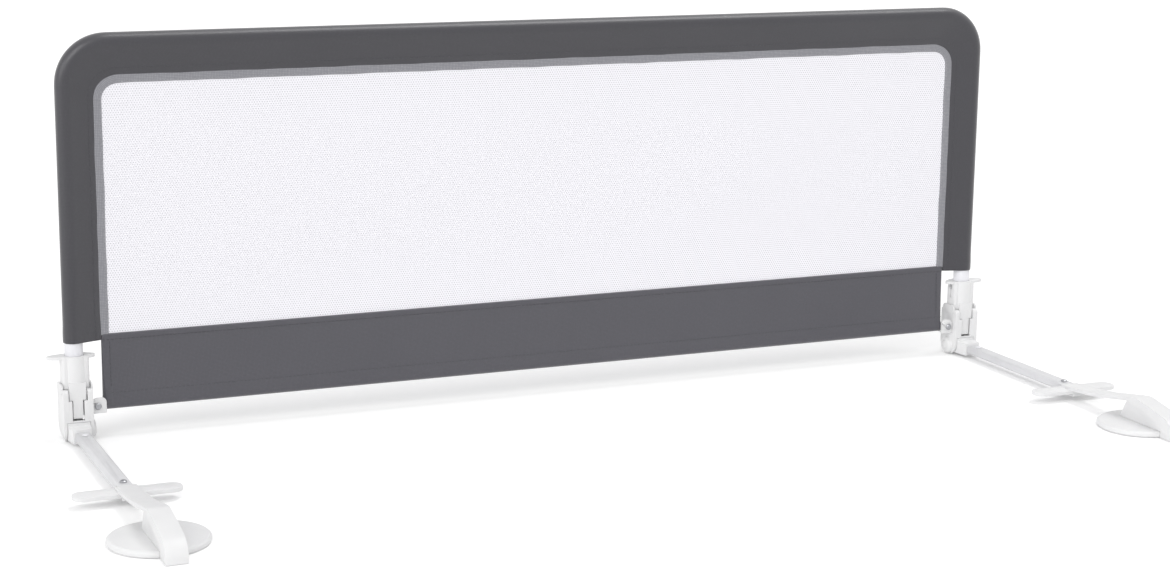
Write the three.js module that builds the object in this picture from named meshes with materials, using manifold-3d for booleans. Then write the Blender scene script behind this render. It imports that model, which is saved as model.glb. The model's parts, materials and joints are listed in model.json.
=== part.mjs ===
// Folding bed guard rail: a fabric covered tube frame on two sprung hinges.
// Its arms go under a mattress.
// Millimetres, +Z up, X along the rail, arms towards -Y. The origin is under the middle of the whole rail.
import * as THREE from 'three';
import { mergeVertices } from 'three/addons/utils/BufferGeometryUtils.js';
import Module from 'manifold-3d';

const wasm = await Module();
wasm.setup();
const { Manifold, Mesh: SolidMesh } = wasm;

// Driving dimensions
const railLength = 1040; // outer edge to outer edge of the fabric border
const railHeight = 400; // floor to the top of the border
const frameCornerRadius = 40; // bend of the frame tube's centre line
const frameTubeRadius = 9;
const frameTubeWall = 1.2;
const fabricThickness = 1;
const borderWidthTop = 41;
const borderWidthSide = 36.5;
const borderEndHeight = 98; // lower ends of the border on the legs
const windowCornerRadius = 24;
const bindingWidth = 8;
const bindingThickness = 2;
const meshThickness = 0.8;
const skirtTopHeight = 104;
const crossTubeRadius = 4.5;
const crossTubeWall = 1;
const crossTubeHeightShare = 0.63; // of the hinge housings' height
const armReach = 410; // hinge axis to the end of the foot
const armTubeWidth = 15;
const armTubeHeight = 9;
const armTubeWall = 1.2;
const armTubeRounding = 2.4;
const pivotHeight = 10;
const pivotPinRadius = 3;
const barrelRadius = 9;
const barrelWidth = 22;
const housingWidth = 29.2;
const housingFront = 15; // hinge axis to the front face
const housingBack = 15; // hinge axis to the back face
const housingHeight = 53;
const lockTravel = 9;
const crossTubeHeight = housingHeight * crossTubeHeightShare;

// Clearances and overruns
const fitGap = 0.3; // between pieces that touch
const slideGap = 0.4; // between pieces that slide or turn
const overrun = 2; // how far a cutter passes the face it cuts
const minimumWireGap = 0.4;

// Facets
const roundSides = 20;
const smallSides = 12;
const cornerSteps = 6;
const smallCornerSteps = 2;
const bandSteps = 22;

// Materials
function finish(color, roughness, metalness) {
  return new THREE.MeshStandardMaterial({ color, roughness, metalness });
}

const materials = {
  whiteSteel: () => finish('#e9e9ea', 0.35, 0.1),
  whitePlastic: () => finish('#f1f1f1', 0.45, 0),
  zincSteel: () => finish('#b9babd', 0.3, 0.9),
  springSteel: () => finish('#8d8f94', 0.3, 1),
  greyFabric: () => finish('#545359', 0.9, 0),
  greyBinding: () => finish('#9a9a9e', 0.9, 0),
  whiteMesh: () => finish('#ecebf1', 0.9, 0),
};

// Solid helpers
const axisX = new THREE.Vector3(1, 0, 0);
const axisY = new THREE.Vector3(0, 1, 0);
const axisZ = new THREE.Vector3(0, 0, 1);

function toSolid(geometry) {
  const bare = geometry.clone();
  bare.deleteAttribute('normal');
  bare.deleteAttribute('uv');
  const merged = mergeVertices(bare);
  return new Manifold(new SolidMesh({
    numProp: 3,
    vertProperties: new Float32Array(merged.attributes.position.array),
    triVerts: new Uint32Array(merged.index.array),
  }));
}

function toGeometry(solid) {
  const { vertProperties, triVerts } = solid.getMesh();
  const geometry = new THREE.BufferGeometry();
  geometry.setAttribute('position', new THREE.BufferAttribute(new Float32Array(vertProperties), 3));
  geometry.setIndex(new THREE.BufferAttribute(new Uint32Array(triVerts), 1));
  geometry.computeVertexNormals();
  return geometry;
}

function join(...geometries) {
  return toGeometry(geometries.map(toSolid).reduce((whole, piece) => whole.add(piece)));
}

function cut(body, ...cutters) {
  return toGeometry(cutters.map(toSolid).reduce((whole, piece) => whole.subtract(piece), toSolid(body)));
}

// The other hand of a geometry, turned so that its faces still point out.
function otherHand(geometry) {
  const mirrored = geometry.index ? geometry.toNonIndexed() : geometry.clone();
  mirrored.scale(-1, 1, 1);
  const { array } = mirrored.attributes.position;
  for (let i = 0; i < array.length; i += 9) {
    for (let k = 0; k < 3; k += 1) {
      [array[i + 3 + k], array[i + 6 + k]] = [array[i + 6 + k], array[i + 3 + k]];
    }
  }
  mirrored.computeVertexNormals();
  return mirrored;
}

// A box from its low corner to its high corner.
function block([x0, y0, z0], [x1, y1, z1]) {
  const geometry = new THREE.BoxGeometry(x1 - x0, y1 - y0, z1 - z0);
  return geometry.translate((x0 + x1) / 2, (y0 + y1) / 2, (z0 + z1) / 2);
}

// A cylinder between two values along one axis, its centre line through the other two.
function rod(axis, radius, from, to, centre = [0, 0, 0], sides = smallSides) {
  const geometry = new THREE.CylinderGeometry(radius, radius, to - from, sides);
  if (axis === axisX) geometry.rotateZ(-Math.PI / 2);
  if (axis === axisZ) geometry.rotateX(Math.PI / 2);
  const middle = axis.clone().multiplyScalar((from + to) / 2);
  return geometry.translate(centre[0] + middle.x, centre[1] + middle.y, centre[2] + middle.z);
}

// A turned piece about Z from its profile of [radius, height] points.
function turned(profile, sides = smallSides) {
  const geometry = new THREE.LatheGeometry(profile.map(([r, z]) => new THREE.Vector2(r, z)), sides);
  return geometry.rotateX(Math.PI / 2);
}

// A turned piece with a dome or pan head, its shank from `tip` up to `seat`.
const headCrownShare = 0.7;

function headed(shankRadius, headRadius, headHeight, tip, seat) {
  return turned([
    [0, tip],
    [shankRadius, tip],
    [shankRadius, seat],
    [headRadius, seat],
    [headRadius, seat + headHeight / 2],
    [headRadius * headCrownShare, seat + headHeight],
    [0, seat + headHeight],
  ]);
}

// A flat outline given in Y and Z, thickened along X about x = 0.
function slabAlongX(shape, width, curveSegments = cornerSteps) {
  const geometry = new THREE.ExtrudeGeometry(shape, { depth: width, bevelEnabled: false, curveSegments });
  geometry.translate(0, 0, -width / 2);
  return geometry.applyMatrix4(new THREE.Matrix4().makeBasis(axisY, axisZ, axisX));
}

// A flat outline given in X and Z, thickened along Y about y = 0.
function slabAlongY(shape, width, curveSegments = cornerSteps) {
  const geometry = new THREE.ExtrudeGeometry(shape, { depth: width, bevelEnabled: false, curveSegments });
  geometry.translate(0, 0, -width / 2);
  return geometry.applyMatrix4(new THREE.Matrix4().makeBasis(axisX, axisZ, axisY.clone().negate()));
}

// A flat outline given in X and Y, standing on z = 0.
function slabAlongZ(shape, height, curveSegments = cornerSteps) {
  return new THREE.ExtrudeGeometry(shape, { depth: height, bevelEnabled: false, curveSegments });
}

// A rectangle with its own radius at each corner: low-low, high-low, high-high, low-high.
function roundedRectangle([x0, y0], [x1, y1], radii) {
  const [a, b, c, d] = Array.isArray(radii) ? radii : [radii, radii, radii, radii];
  const shape = new THREE.Shape();
  shape.moveTo(x0 + a, y0);
  shape.lineTo(x1 - b, y0);
  if (b > 0) shape.absarc(x1 - b, y0 + b, b, -Math.PI / 2, 0);
  shape.lineTo(x1, y1 - c);
  if (c > 0) shape.absarc(x1 - c, y1 - c, c, 0, Math.PI / 2);
  shape.lineTo(x0 + d, y1);
  if (d > 0) shape.absarc(x0 + d, y1 - d, d, Math.PI / 2, Math.PI);
  shape.lineTo(x0, y0 + a);
  if (a > 0) shape.absarc(x0 + a, y0 + a, a, Math.PI, 1.5 * Math.PI);
  return shape;
}

function ellipseShape(halfX, halfY, centreX = 0, centreY = 0) {
  const shape = new THREE.Shape();
  shape.absellipse(centreX, centreY, halfX, halfY, 0, 2 * Math.PI);
  return shape;
}

function ringShape(outer, inner) {
  const shape = new THREE.Shape();
  shape.absarc(0, 0, outer, 0, 2 * Math.PI);
  const bore = new THREE.Path();
  bore.absarc(0, 0, inner, 0, 2 * Math.PI, true);
  shape.holes.push(bore);
  return shape;
}

// Straight runs joined by equal bends in a plane, sampled only where the line turns.
class BentPath extends THREE.Curve {
  constructor(corners, radius) {
    super();
    this.stations = [];
    const last = corners.length - 1;
    this.stations.push({ line: true, point: corners[0] });
    for (let i = 1; i < last; i += 1) {
      const into = corners[i].clone().sub(corners[i - 1]).normalize();
      const out = corners[i + 1].clone().sub(corners[i]).normalize();
      const start = corners[i].clone().addScaledVector(into, -radius);
      const centre = start.clone().addScaledVector(out, radius);
      for (let k = 0; k <= cornerSteps; k += 1) {
        this.stations.push({ line: k === 0, centre, into, out, radius, share: k / cornerSteps });
      }
    }
    this.stations.push({ line: true, point: corners[last] });
  }

  get steps() {
    return this.stations.length - 1;
  }

  onBend({ centre, into, out, radius }, share) {
    const angle = share * Math.PI / 2;
    const point = centre.clone().addScaledVector(out, -radius * Math.cos(angle));
    return point.addScaledVector(into, radius * Math.sin(angle));
  }

  place(station) {
    return station.point ? station.point.clone() : this.onBend(station, station.share);
  }

  getUtoTmapping(u) {
    return u;
  }

  getPoint(t) {
    const along = Math.min(Math.max(t, 0), 1) * this.steps;
    const i = Math.min(Math.floor(along), this.steps - 1);
    const from = this.stations[i];
    const to = this.stations[i + 1];
    if (to.line) return this.place(from).lerp(this.place(to), along - i);
    return this.onBend(to, (to.share * cornerSteps - 1 + along - i) / cornerSteps);
  }
}

function sweep(shape, path, curveSegments = roundSides / 2) {
  return new THREE.ExtrudeGeometry(shape, { steps: path.steps, extrudePath: path, curveSegments });
}

function discShape(radius) {
  const shape = new THREE.Shape();
  shape.absarc(0, 0, radius, 0, 2 * Math.PI);
  return shape;
}

// The rail as a group of named pieces
const rail = new THREE.Group();

function addPiece(parent, name, geometry, material, position = [0, 0, 0]) {
  const piece = new THREE.Mesh(geometry, material());
  piece.name = name;
  piece.position.set(...position);
  parent.add(piece);
  return piece;
}

// Frame lines shared by the tubes and the fabric
const coveredRadius = frameTubeRadius + fabricThickness;
const legX = railLength / 2 - coveredRadius;
const topZ = railHeight - coveredRadius;
const windowSide = railLength / 2 - borderWidthSide;
const windowTop = railHeight - borderWidthTop;

// Frame: two bent corner tubes and a middle tube on inner sleeves
const legInsertion = 6; // how far the legs go into the hinge housings
const legEnd = housingHeight - legInsertion;
const cornerTubeReach = railLength / 4; // where a corner tube meets the middle tube
const jointLength = 60;
const jointRadius = frameTubeRadius - frameTubeWall - fitGap;
const jointWall = 1.4;

function frameTubePath(fromZ, toX) {
  return new BentPath([
    new THREE.Vector3(legX, 0, fromZ),
    new THREE.Vector3(legX, 0, topZ),
    new THREE.Vector3(toX, 0, topZ),
  ], frameCornerRadius);
}

function cornerTube() {
  const section = ringShape(frameTubeRadius, frameTubeRadius - frameTubeWall);
  return sweep(section, frameTubePath(legEnd, cornerTubeReach));
}

function straightTube(outer, wall, length) {
  const tube = new THREE.ExtrudeGeometry(ringShape(outer, outer - wall), {
    depth: length,
    bevelEnabled: false,
    curveSegments: roundSides / 2,
  });
  return tube.translate(0, 0, -length / 2).rotateY(Math.PI / 2);
}

function addFrame(parent) {
  const middleLength = 2 * (cornerTubeReach - fitGap);
  const middle = straightTube(frameTubeRadius, frameTubeWall, middleLength);
  addPiece(parent, 'top_frame_tube', middle, materials.whiteSteel, [0, 0, topZ]);
  for (const [hand, side] of [['left', -1], ['right', 1]]) {
    const tube = side < 0 ? otherHand(drilledCornerTube()) : drilledCornerTube();
    addPiece(parent, `${hand}_frame_tube`, tube, materials.whiteSteel);
    const sleeve = straightTube(jointRadius, jointWall, jointLength);
    addPiece(parent, `${hand}_tube_joiner`, sleeve, materials.zincSteel, [side * cornerTubeReach, 0, topZ]);
  }
}

// Fabric: a sleeve round the frame, a tape that binds the net, the net and a plain skirt
const webThickness = 2 * fabricThickness;
const hemOuter = crossTubeRadius + fitGap + fabricThickness;
const coverNoseReach = 25; // from the tube's centre line towards the window

function archShape(side, top, radius, bottom) {
  const shape = new THREE.Shape();
  shape.moveTo(-side, bottom);
  shape.lineTo(side, bottom);
  shape.lineTo(side, top - radius);
  shape.absarc(side - radius, top - radius, radius, 0, Math.PI / 2);
  shape.lineTo(-side + radius, top);
  shape.absarc(-side + radius, top - radius, radius, Math.PI / 2, Math.PI);
  return shape;
}

function archFrame(outer, inner, thickness) {
  const body = slabAlongY(outer, thickness);
  return cut(body, slabAlongY(inner, thickness + 2 * overrun));
}

function wholeFramePath(fromZ) {
  return new BentPath([
    new THREE.Vector3(legX, 0, fromZ),
    new THREE.Vector3(legX, 0, topZ),
    new THREE.Vector3(-legX, 0, topZ),
    new THREE.Vector3(-legX, 0, fromZ),
  ], frameCornerRadius);
}

// The cover's section: round over the tube, then drawn in to the thickness of the web.
function coverShape() {
  const noseHalf = webThickness / 2;
  const touch = Math.acos((coveredRadius - noseHalf) / coverNoseReach);
  const shape = new THREE.Shape();
  shape.absarc(0, 0, coveredRadius, touch, 2 * Math.PI - touch);
  shape.lineTo(coverNoseReach, -noseHalf);
  shape.lineTo(coverNoseReach, noseHalf);
  return shape;
}

function borderSleeve() {
  const bulge = sweep(coverShape(), wholeFramePath(borderEndHeight));
  const web = archFrame(
    archShape(legX, topZ, frameCornerRadius, borderEndHeight),
    archShape(windowSide, windowTop, windowCornerRadius, borderEndHeight - overrun),
    webThickness,
  );
  const bore = sweep(discShape(frameTubeRadius + fitGap), wholeFramePath(borderEndHeight - overrun));
  return cut(join(bulge, web), bore);
}

function meshBinding() {
  const outerRadius = windowCornerRadius - fitGap;
  const bottom = skirtTopHeight + fitGap;
  const innerSide = windowSide - bindingWidth;
  const innerTop = windowTop - bindingWidth;
  const innerRadius = windowCornerRadius - bindingWidth;
  return archFrame(
    archShape(windowSide - fitGap, windowTop - fitGap, outerRadius, bottom),
    archShape(innerSide, innerTop, innerRadius, bottom - overrun),
    bindingThickness,
  );
}

function meshPanel() {
  const side = windowSide - bindingWidth - fitGap;
  const top = windowTop - bindingWidth - fitGap;
  const radius = windowCornerRadius - bindingWidth - fitGap;
  return slabAlongY(archShape(side, top, radius, skirtTopHeight + fitGap), meshThickness);
}

// Both layers of the skirt fall straight from its top seam and run into the loop round the cross tube.
function skirt() {
  const halfWeb = webThickness / 2;
  const lean = Math.atan((hemOuter - halfWeb) / (skirtTopHeight - crossTubeHeight));
  const profile = new THREE.Shape();
  profile.moveTo(halfWeb, skirtTopHeight);
  profile.lineTo(-halfWeb, skirtTopHeight);
  profile.absarc(0, crossTubeHeight, hemOuter, Math.PI - lean, 2 * Math.PI + lean);
  const loop = new THREE.Path();
  loop.absarc(0, crossTubeHeight, crossTubeRadius + fitGap, 0, 2 * Math.PI, true);
  profile.holes.push(loop);
  return slabAlongX(profile, 2 * (windowSide - fitGap), roundSides / 2);
}

function addFabric(parent) {
  addPiece(parent, 'border_sleeve', borderSleeve(), materials.greyFabric);
  addPiece(parent, 'mesh_binding', meshBinding(), materials.greyBinding);
  addPiece(parent, 'mesh_panel', meshPanel(), materials.whiteMesh);
  addPiece(parent, 'skirt', skirt(), materials.greyFabric);
}

// Hinge: every piece is drawn for the right-hand end about the hinge line, with +X pointing outwards
const cheekInner = barrelWidth / 2 + slideGap;
const cheekOuter = housingWidth / 2;
const housingWall = 3.5;
const housingTopThickness = 6;
const housingCavityTop = housingHeight - housingTopThickness;
const knuckleHeadroom = 1.5;
const housingOpenHeight = pivotHeight + barrelRadius + knuckleHeadroom; // free height between the cheeks
const housingCornerRadius = 4;
const cheekToeRadius = 14;
const cheekFootInset = 2.4; // how far the cheeks' outer faces draw in at the floor
const cheekFootHeight = 16;
const cheekFootBendShare = 0.45;
const earHeight = 5; // how far the cheeks stand above the housing's top
const earDepth = 5; // how far the thicker ears run below it
const earInner = 13.8;
const earBulge = 0.9;
const channelHalfWidth = 6; // the open channel in the front, where the slider's rib runs
const channelDepth = 4.3; // from the front face back
const channelSill = 1.5; // bar under the front channel
const scoopHalfWidth = 9.4; // the channel's wider top, round the slider's column
const scoopHeight = 11; // from the housing's top down
const channelBottom = housingOpenHeight + channelSill;
const legSocketRadius = frameTubeRadius + fitGap;
const yokeInner = 10.2;
const yokeThickness = 1.7;
const bossThickness = 4; // how far the inner cheek's boss stands proud round the pivot
const yokeDepth = 7;
const bossRim = 1.2; // flat ring round the cap
const bossSteps = 4;
const pinCover = 1.2; // what the outer cheek leaves over the pin's end
const pinReach = cheekOuter - pinCover - fitGap;
const pinHeadRadius = 5;
const pinHeadThickness = 1.8;
const bossRadius = pivotHeight - fitGap;
const bossCrownRadius = pinHeadRadius + fitGap + bossRim;
const housingScrewRadius = 1.6;
const housingScrewHeight = (housingCavityTop + housingHeight) / 2;

// The housing's outline from the front, its cheeks drawn in towards the floor.
function housingFrontShape() {
  const footX = cheekOuter - cheekFootInset;
  const bendHeight = cheekFootHeight * cheekFootBendShare;
  const shape = new THREE.Shape();
  shape.moveTo(-footX, 0);
  shape.lineTo(footX, 0);
  shape.quadraticCurveTo(cheekOuter, bendHeight, cheekOuter, cheekFootHeight);
  shape.lineTo(cheekOuter, housingHeight);
  shape.lineTo(-cheekOuter, housingHeight);
  shape.lineTo(-cheekOuter, cheekFootHeight);
  shape.quadraticCurveTo(-cheekOuter, bendHeight, -footX, 0);
  return shape;
}

// The inner cheek's domed boss, seen from its axis.
function bossGeometry() {
  const profile = [[0, cheekInner], [bossRadius, cheekInner]];
  for (let step = 0; step <= bossSteps; step += 1) {
    const angle = (step / bossSteps) * (Math.PI / 2);
    profile.push([
      bossCrownRadius + (bossRadius - bossCrownRadius) * Math.cos(angle),
      cheekOuter + bossThickness * Math.sin(angle),
    ]);
  }
  profile.push([0, cheekOuter + bossThickness]);
  return turned(profile, roundSides).rotateY(-Math.PI / 2).translate(0, 0, pivotHeight);
}

function housingGeometry() {
  const side = roundedRectangle(
    [-housingFront, 0],
    [housingBack, housingHeight],
    [cheekToeRadius, cheekToeRadius, housingCornerRadius, housingCornerRadius],
  );
  const fromSide = toSolid(slabAlongX(side, housingWidth));
  const fromFront = toSolid(slabAlongY(housingFrontShape(), 2 * (housingFront + housingBack)));
  const body = toGeometry(fromSide.intersect(fromFront));
  const ear = slabAlongX(
    roundedRectangle(
      [-housingFront + housingCornerRadius, housingHeight - earDepth],
      [housingBack - housingCornerRadius, housingHeight + earHeight],
      housingCornerRadius,
    ),
    cheekOuter + earBulge - earInner,
  );
  const earPlace = (cheekOuter + earBulge + earInner) / 2;
  const outerEar = ear.clone().translate(earPlace, 0, 0);
  const innerEar = ear.clone().translate(-earPlace, 0, 0);
  const knuckleSpace = block(
    [-cheekInner, -housingFront - overrun, -overrun],
    [cheekInner, housingBack + overrun, housingOpenHeight],
  );
  const cavity = block(
    [-yokeInner - yokeThickness - slideGap, -housingFront + housingWall, housingOpenHeight - overrun],
    [yokeInner + yokeThickness + slideGap, housingBack - housingWall, housingCavityTop],
  );
  const channel = block(
    [-channelHalfWidth, -housingFront - overrun, channelBottom],
    [channelHalfWidth, -housingFront + channelDepth, housingHeight + overrun],
  );
  const scoop = block(
    [-scoopHalfWidth, -housingFront - overrun, housingHeight - scoopHeight],
    [scoopHalfWidth, -housingFront + channelDepth, housingHeight + overrun],
  );
  const socketFrom = housingCavityTop - overrun;
  const socket = rod(axisZ, legSocketRadius, socketFrom, housingHeight + overrun, [0, 0, 0], roundSides);
  const yokeSlot = block(
    [-yokeInner - yokeThickness - slideGap, -yokeDepth / 2 - slideGap, housingCavityTop - overrun],
    [yokeInner + yokeThickness + slideGap, yokeDepth / 2 + slideGap, housingHeight + overrun],
  );
  const pivotLine = [0, 0, pivotHeight];
  const pinHole = rod(axisX, pivotPinRadius + fitGap, -housingWidth, pinReach + fitGap, pivotLine);
  const headHole = rod(axisX, pinHeadRadius + fitGap, -housingWidth, -cheekOuter - fitGap, pivotLine);
  const screwLine = [0, 0, housingScrewHeight];
  const screwHole = rod(axisY, housingScrewRadius + fitGap, 0, housingBack + overrun, screwLine);
  const solid = join(body, outerEar, innerEar, bossGeometry());
  const openings = [knuckleSpace, cavity, channel, scoop, socket, yokeSlot];
  return cut(solid, ...openings, pinHole, headHole, screwHole);
}

// The screw that holds a leg in its housing, from the back through the tube's wall.
const housingScrewPastWall = 0.6;
const housingScrewTip = frameTubeRadius - frameTubeWall - housingScrewPastWall;
const screwHeadRadiusShare = 1.9;
const screwHeadHeight = 1.8;

function housingScrew() {
  const screw = headed(
    housingScrewRadius,
    housingScrewRadius * screwHeadRadiusShare,
    screwHeadHeight,
    housingScrewTip,
    housingBack + fitGap,
  );
  return screw.rotateX(-Math.PI / 2);
}

function drilledCornerTube() {
  const screwLine = [legX, 0, housingScrewHeight];
  const hole = rod(axisY, housingScrewRadius + fitGap, 0, frameTubeRadius + overrun, screwLine);
  return cut(cornerTube(), hole);
}

// Lock: a finger slider on the leg, a tongue on two prongs and a spring inside the leg
const sliderBottom = housingHeight + slideGap;
const sliderHeight = 32;
const sliderHalfWidth = earInner - slideGap;
const flangeHalfDepth = 8.6;
const flangeCornerRadius = 3.2;
const columnRadius = 12; // the slider's round middle
const sliderBore = frameTubeRadius + slideGap;
const wingThickness = 3;
const wingOuterReach = 27;
const wingInnerReach = 20.5;
const wingHalfDepth = 8;
const ribSideGap = 1.1; // beside the rib, in the channel and in the scoop
const ribHalfWidth = channelHalfWidth - ribSideGap;
const ribTopHalfWidth = scoopHalfWidth - ribSideGap;
const ribRecess = 2.2; // behind the housing's front face
const ribBottomGap = 2; // over the channel's sill
const ribRise = 6; // above the slider's lower end
const keyholeRadius = 3;
const keyholeSlitWidth = 2.4;
const keyholeDrop = 7; // from the slider's top
const keyholeLength = 13;
const prongPocketDepth = 8;
const tongueWidth = 10.5;
const tongueDepth = 10;
const tongueBottom = pivotHeight + barrelRadius + 2 * slideGap;
const yokeBarHeight = 6;
const yokeTop = housingCavityTop - lockTravel - 2 * slideGap; // the bar stops under the leg socket
const tongueStemRadius = 3.4;
const tongueStemHeight = 6;
const springSeatHeight = 84;
const springSeatLength = 12;
const springSeatChamfer = 1.6;
const springWireRadius = 0.7;
const springRadius = 5.2;
const springTurns = 7;
const springStepsPerTurn = 8;
const springWireSides = 5;

function sliderGeometry() {
  const sleeveShape = roundedRectangle(
    [-sliderHalfWidth, -flangeHalfDepth],
    [sliderHalfWidth, flangeHalfDepth],
    flangeCornerRadius,
  );
  const sleeve = slabAlongZ(sleeveShape, sliderHeight).translate(0, 0, sliderBottom);
  const column = rod(axisZ, columnRadius, sliderBottom, sliderBottom + sliderHeight, [0, 0, 0], roundSides);
  const wingShape = ellipseShape(
    (wingOuterReach + wingInnerReach) / 2,
    wingHalfDepth,
    (wingOuterReach - wingInnerReach) / 2,
    0,
  );
  const sliderTop = sliderBottom + sliderHeight;
  const wing = slabAlongZ(wingShape, wingThickness, roundSides).translate(0, 0, sliderTop - wingThickness);
  const bore = rod(axisZ, sliderBore, sliderBottom - overrun, sliderTop + overrun, [0, 0, 0], roundSides);
  const pocket = block(
    [-yokeInner - yokeThickness - fitGap, -yokeDepth / 2 - fitGap, sliderBottom - overrun],
    [yokeInner + yokeThickness + fitGap, yokeDepth / 2 + fitGap, sliderBottom + prongPocketDepth + fitGap],
  );
  const keyholeFrom = -sliderHalfWidth - overrun;
  const keyholeTo = -sliderBore / 2;
  const keyholeHeight = sliderTop - keyholeDrop;
  const keyhole = rod(axisX, keyholeRadius, keyholeFrom, keyholeTo, [0, 0, keyholeHeight]);
  const slit = block(
    [keyholeFrom, -keyholeSlitWidth / 2, keyholeHeight - keyholeLength],
    [keyholeTo, keyholeSlitWidth / 2, keyholeHeight],
  );
  const ribFront = -housingFront + ribRecess;
  const ribBack = -housingFront + channelDepth - slideGap;
  const ribStep = housingHeight - scoopHeight + slideGap;
  const rib = block(
    [-ribHalfWidth, ribFront, channelBottom + ribBottomGap],
    [ribHalfWidth, ribBack, ribStep + overrun],
  );
  const ribTop = block(
    [-ribTopHalfWidth, ribFront, ribStep],
    [ribTopHalfWidth, ribBack, sliderBottom + ribRise],
  );
  const ribRoot = block(
    [-ribTopHalfWidth, ribFront, sliderBottom],
    [ribTopHalfWidth, 0, sliderBottom + ribRise],
  );
  return cut(join(sleeve, column, wing, rib, ribTop, ribRoot), bore, pocket, keyhole, slit);
}

function tongueGeometry() {
  const reach = yokeInner + yokeThickness;
  const tongue = block(
    [-tongueWidth / 2, -tongueDepth / 2, tongueBottom],
    [tongueWidth / 2, tongueDepth / 2, yokeTop - yokeBarHeight / 2],
  );
  const bar = block([-reach, -yokeDepth / 2, yokeTop - yokeBarHeight], [reach, yokeDepth / 2, yokeTop]);
  const prongTop = sliderBottom + prongPocketDepth;
  const barBottom = yokeTop - yokeBarHeight;
  const outerProng = block([yokeInner, -yokeDepth / 2, barBottom], [reach, yokeDepth / 2, prongTop]);
  const innerProng = block([-reach, -yokeDepth / 2, barBottom], [-yokeInner, yokeDepth / 2, prongTop]);
  const stem = rod(axisZ, tongueStemRadius, yokeTop - yokeBarHeight / 2, yokeTop + tongueStemHeight);
  return join(tongue, bar, outerProng, innerProng, stem);
}

function springSeatGeometry() {
  const radius = frameTubeRadius - frameTubeWall - fitGap;
  return turned([
    [0, 0],
    [radius, 0],
    [radius, springSeatLength - springSeatChamfer],
    [radius - springSeatChamfer, springSeatLength],
    [0, springSeatLength],
  ], roundSides);
}

// A helix from z = 0 to the given height, one unbroken wire.
class Helix extends THREE.Curve {
  constructor(radius, height, turns) {
    super();
    Object.assign(this, { radius, height, turns });
  }

  getUtoTmapping(u) {
    return u;
  }

  getPoint(t) {
    const angle = 2 * Math.PI * this.turns * t;
    return new THREE.Vector3(this.radius * Math.cos(angle), this.radius * Math.sin(angle), this.height * t);
  }
}

const springBottom = yokeTop + fitGap + springWireRadius;
const springTop = springSeatHeight - fitGap - springWireRadius;
const springPath = new Helix(springRadius, springTop - springBottom, springTurns);

function springGeometry() {
  const wire = new THREE.Shape();
  wire.absarc(0, 0, springWireRadius, 0, 2 * Math.PI);
  return new THREE.ExtrudeGeometry(wire, {
    steps: springTurns * springStepsPerTurn,
    extrudePath: springPath,
    curveSegments: Math.ceil(springWireSides / 2),
  });
}

// The spring wire's least gap to itself, measured between points at least half a turn apart.
function leastWireGap() {
  const count = springTurns * springStepsPerTurn;
  const points = springPath.getPoints(count);
  let least = Infinity;
  for (let i = 0; i < count; i += 1) {
    for (let k = i + springStepsPerTurn / 2; k <= count; k += 1) {
      least = Math.min(least, points[i].distanceTo(points[k]) - 2 * springWireRadius);
    }
  }
  return least;
}

const wireGap = leastWireGap();
const gapText = `${wireGap.toFixed(2)} mm, wanted over ${minimumWireGap} mm`;
console.log(`least gap of the spring wire to itself: ${gapText}`);

// Arm: a knuckle between the cheeks, a flat tube, and a foot with a finger plate and a round pad
const neckHalfWidth = 9;
const neckHalfHeight = 7;
const neckReach = 30;
const shoulderReach = 15; // where the knuckle narrows to its neck
const notchDepth = 2.2; // hollow at the knuckle's front corners
const notchHalfHeight = 4;
const armTubeStart = neckReach + fitGap;
const spigotLength = 24;
const armRivetPlace = neckReach + spigotLength / 2;
const armRivetRadius = 2;
const armRivetHeadRadius = 3.2;
const armRivetHeadHeight = 0.7;
const rivetCrownShare = 0.75;
const stopReach = 8; // front face of the knuckle's stop
const stopOverBarrel = 2.4;
const stopHeight = pivotHeight + barrelRadius + stopOverBarrel;
const pinNoseShare = 0.7;

// The arm tube's section, drawn in by the given amount all round.
function armSection(inset) {
  const halfWidth = armTubeWidth / 2 - inset;
  const halfHeight = armTubeHeight / 2 - inset;
  const radius = Math.max(armTubeRounding - inset, armTubeWall / 2);
  return roundedRectangle([-halfWidth, -halfHeight], [halfWidth, halfHeight], radius);
}

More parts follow.
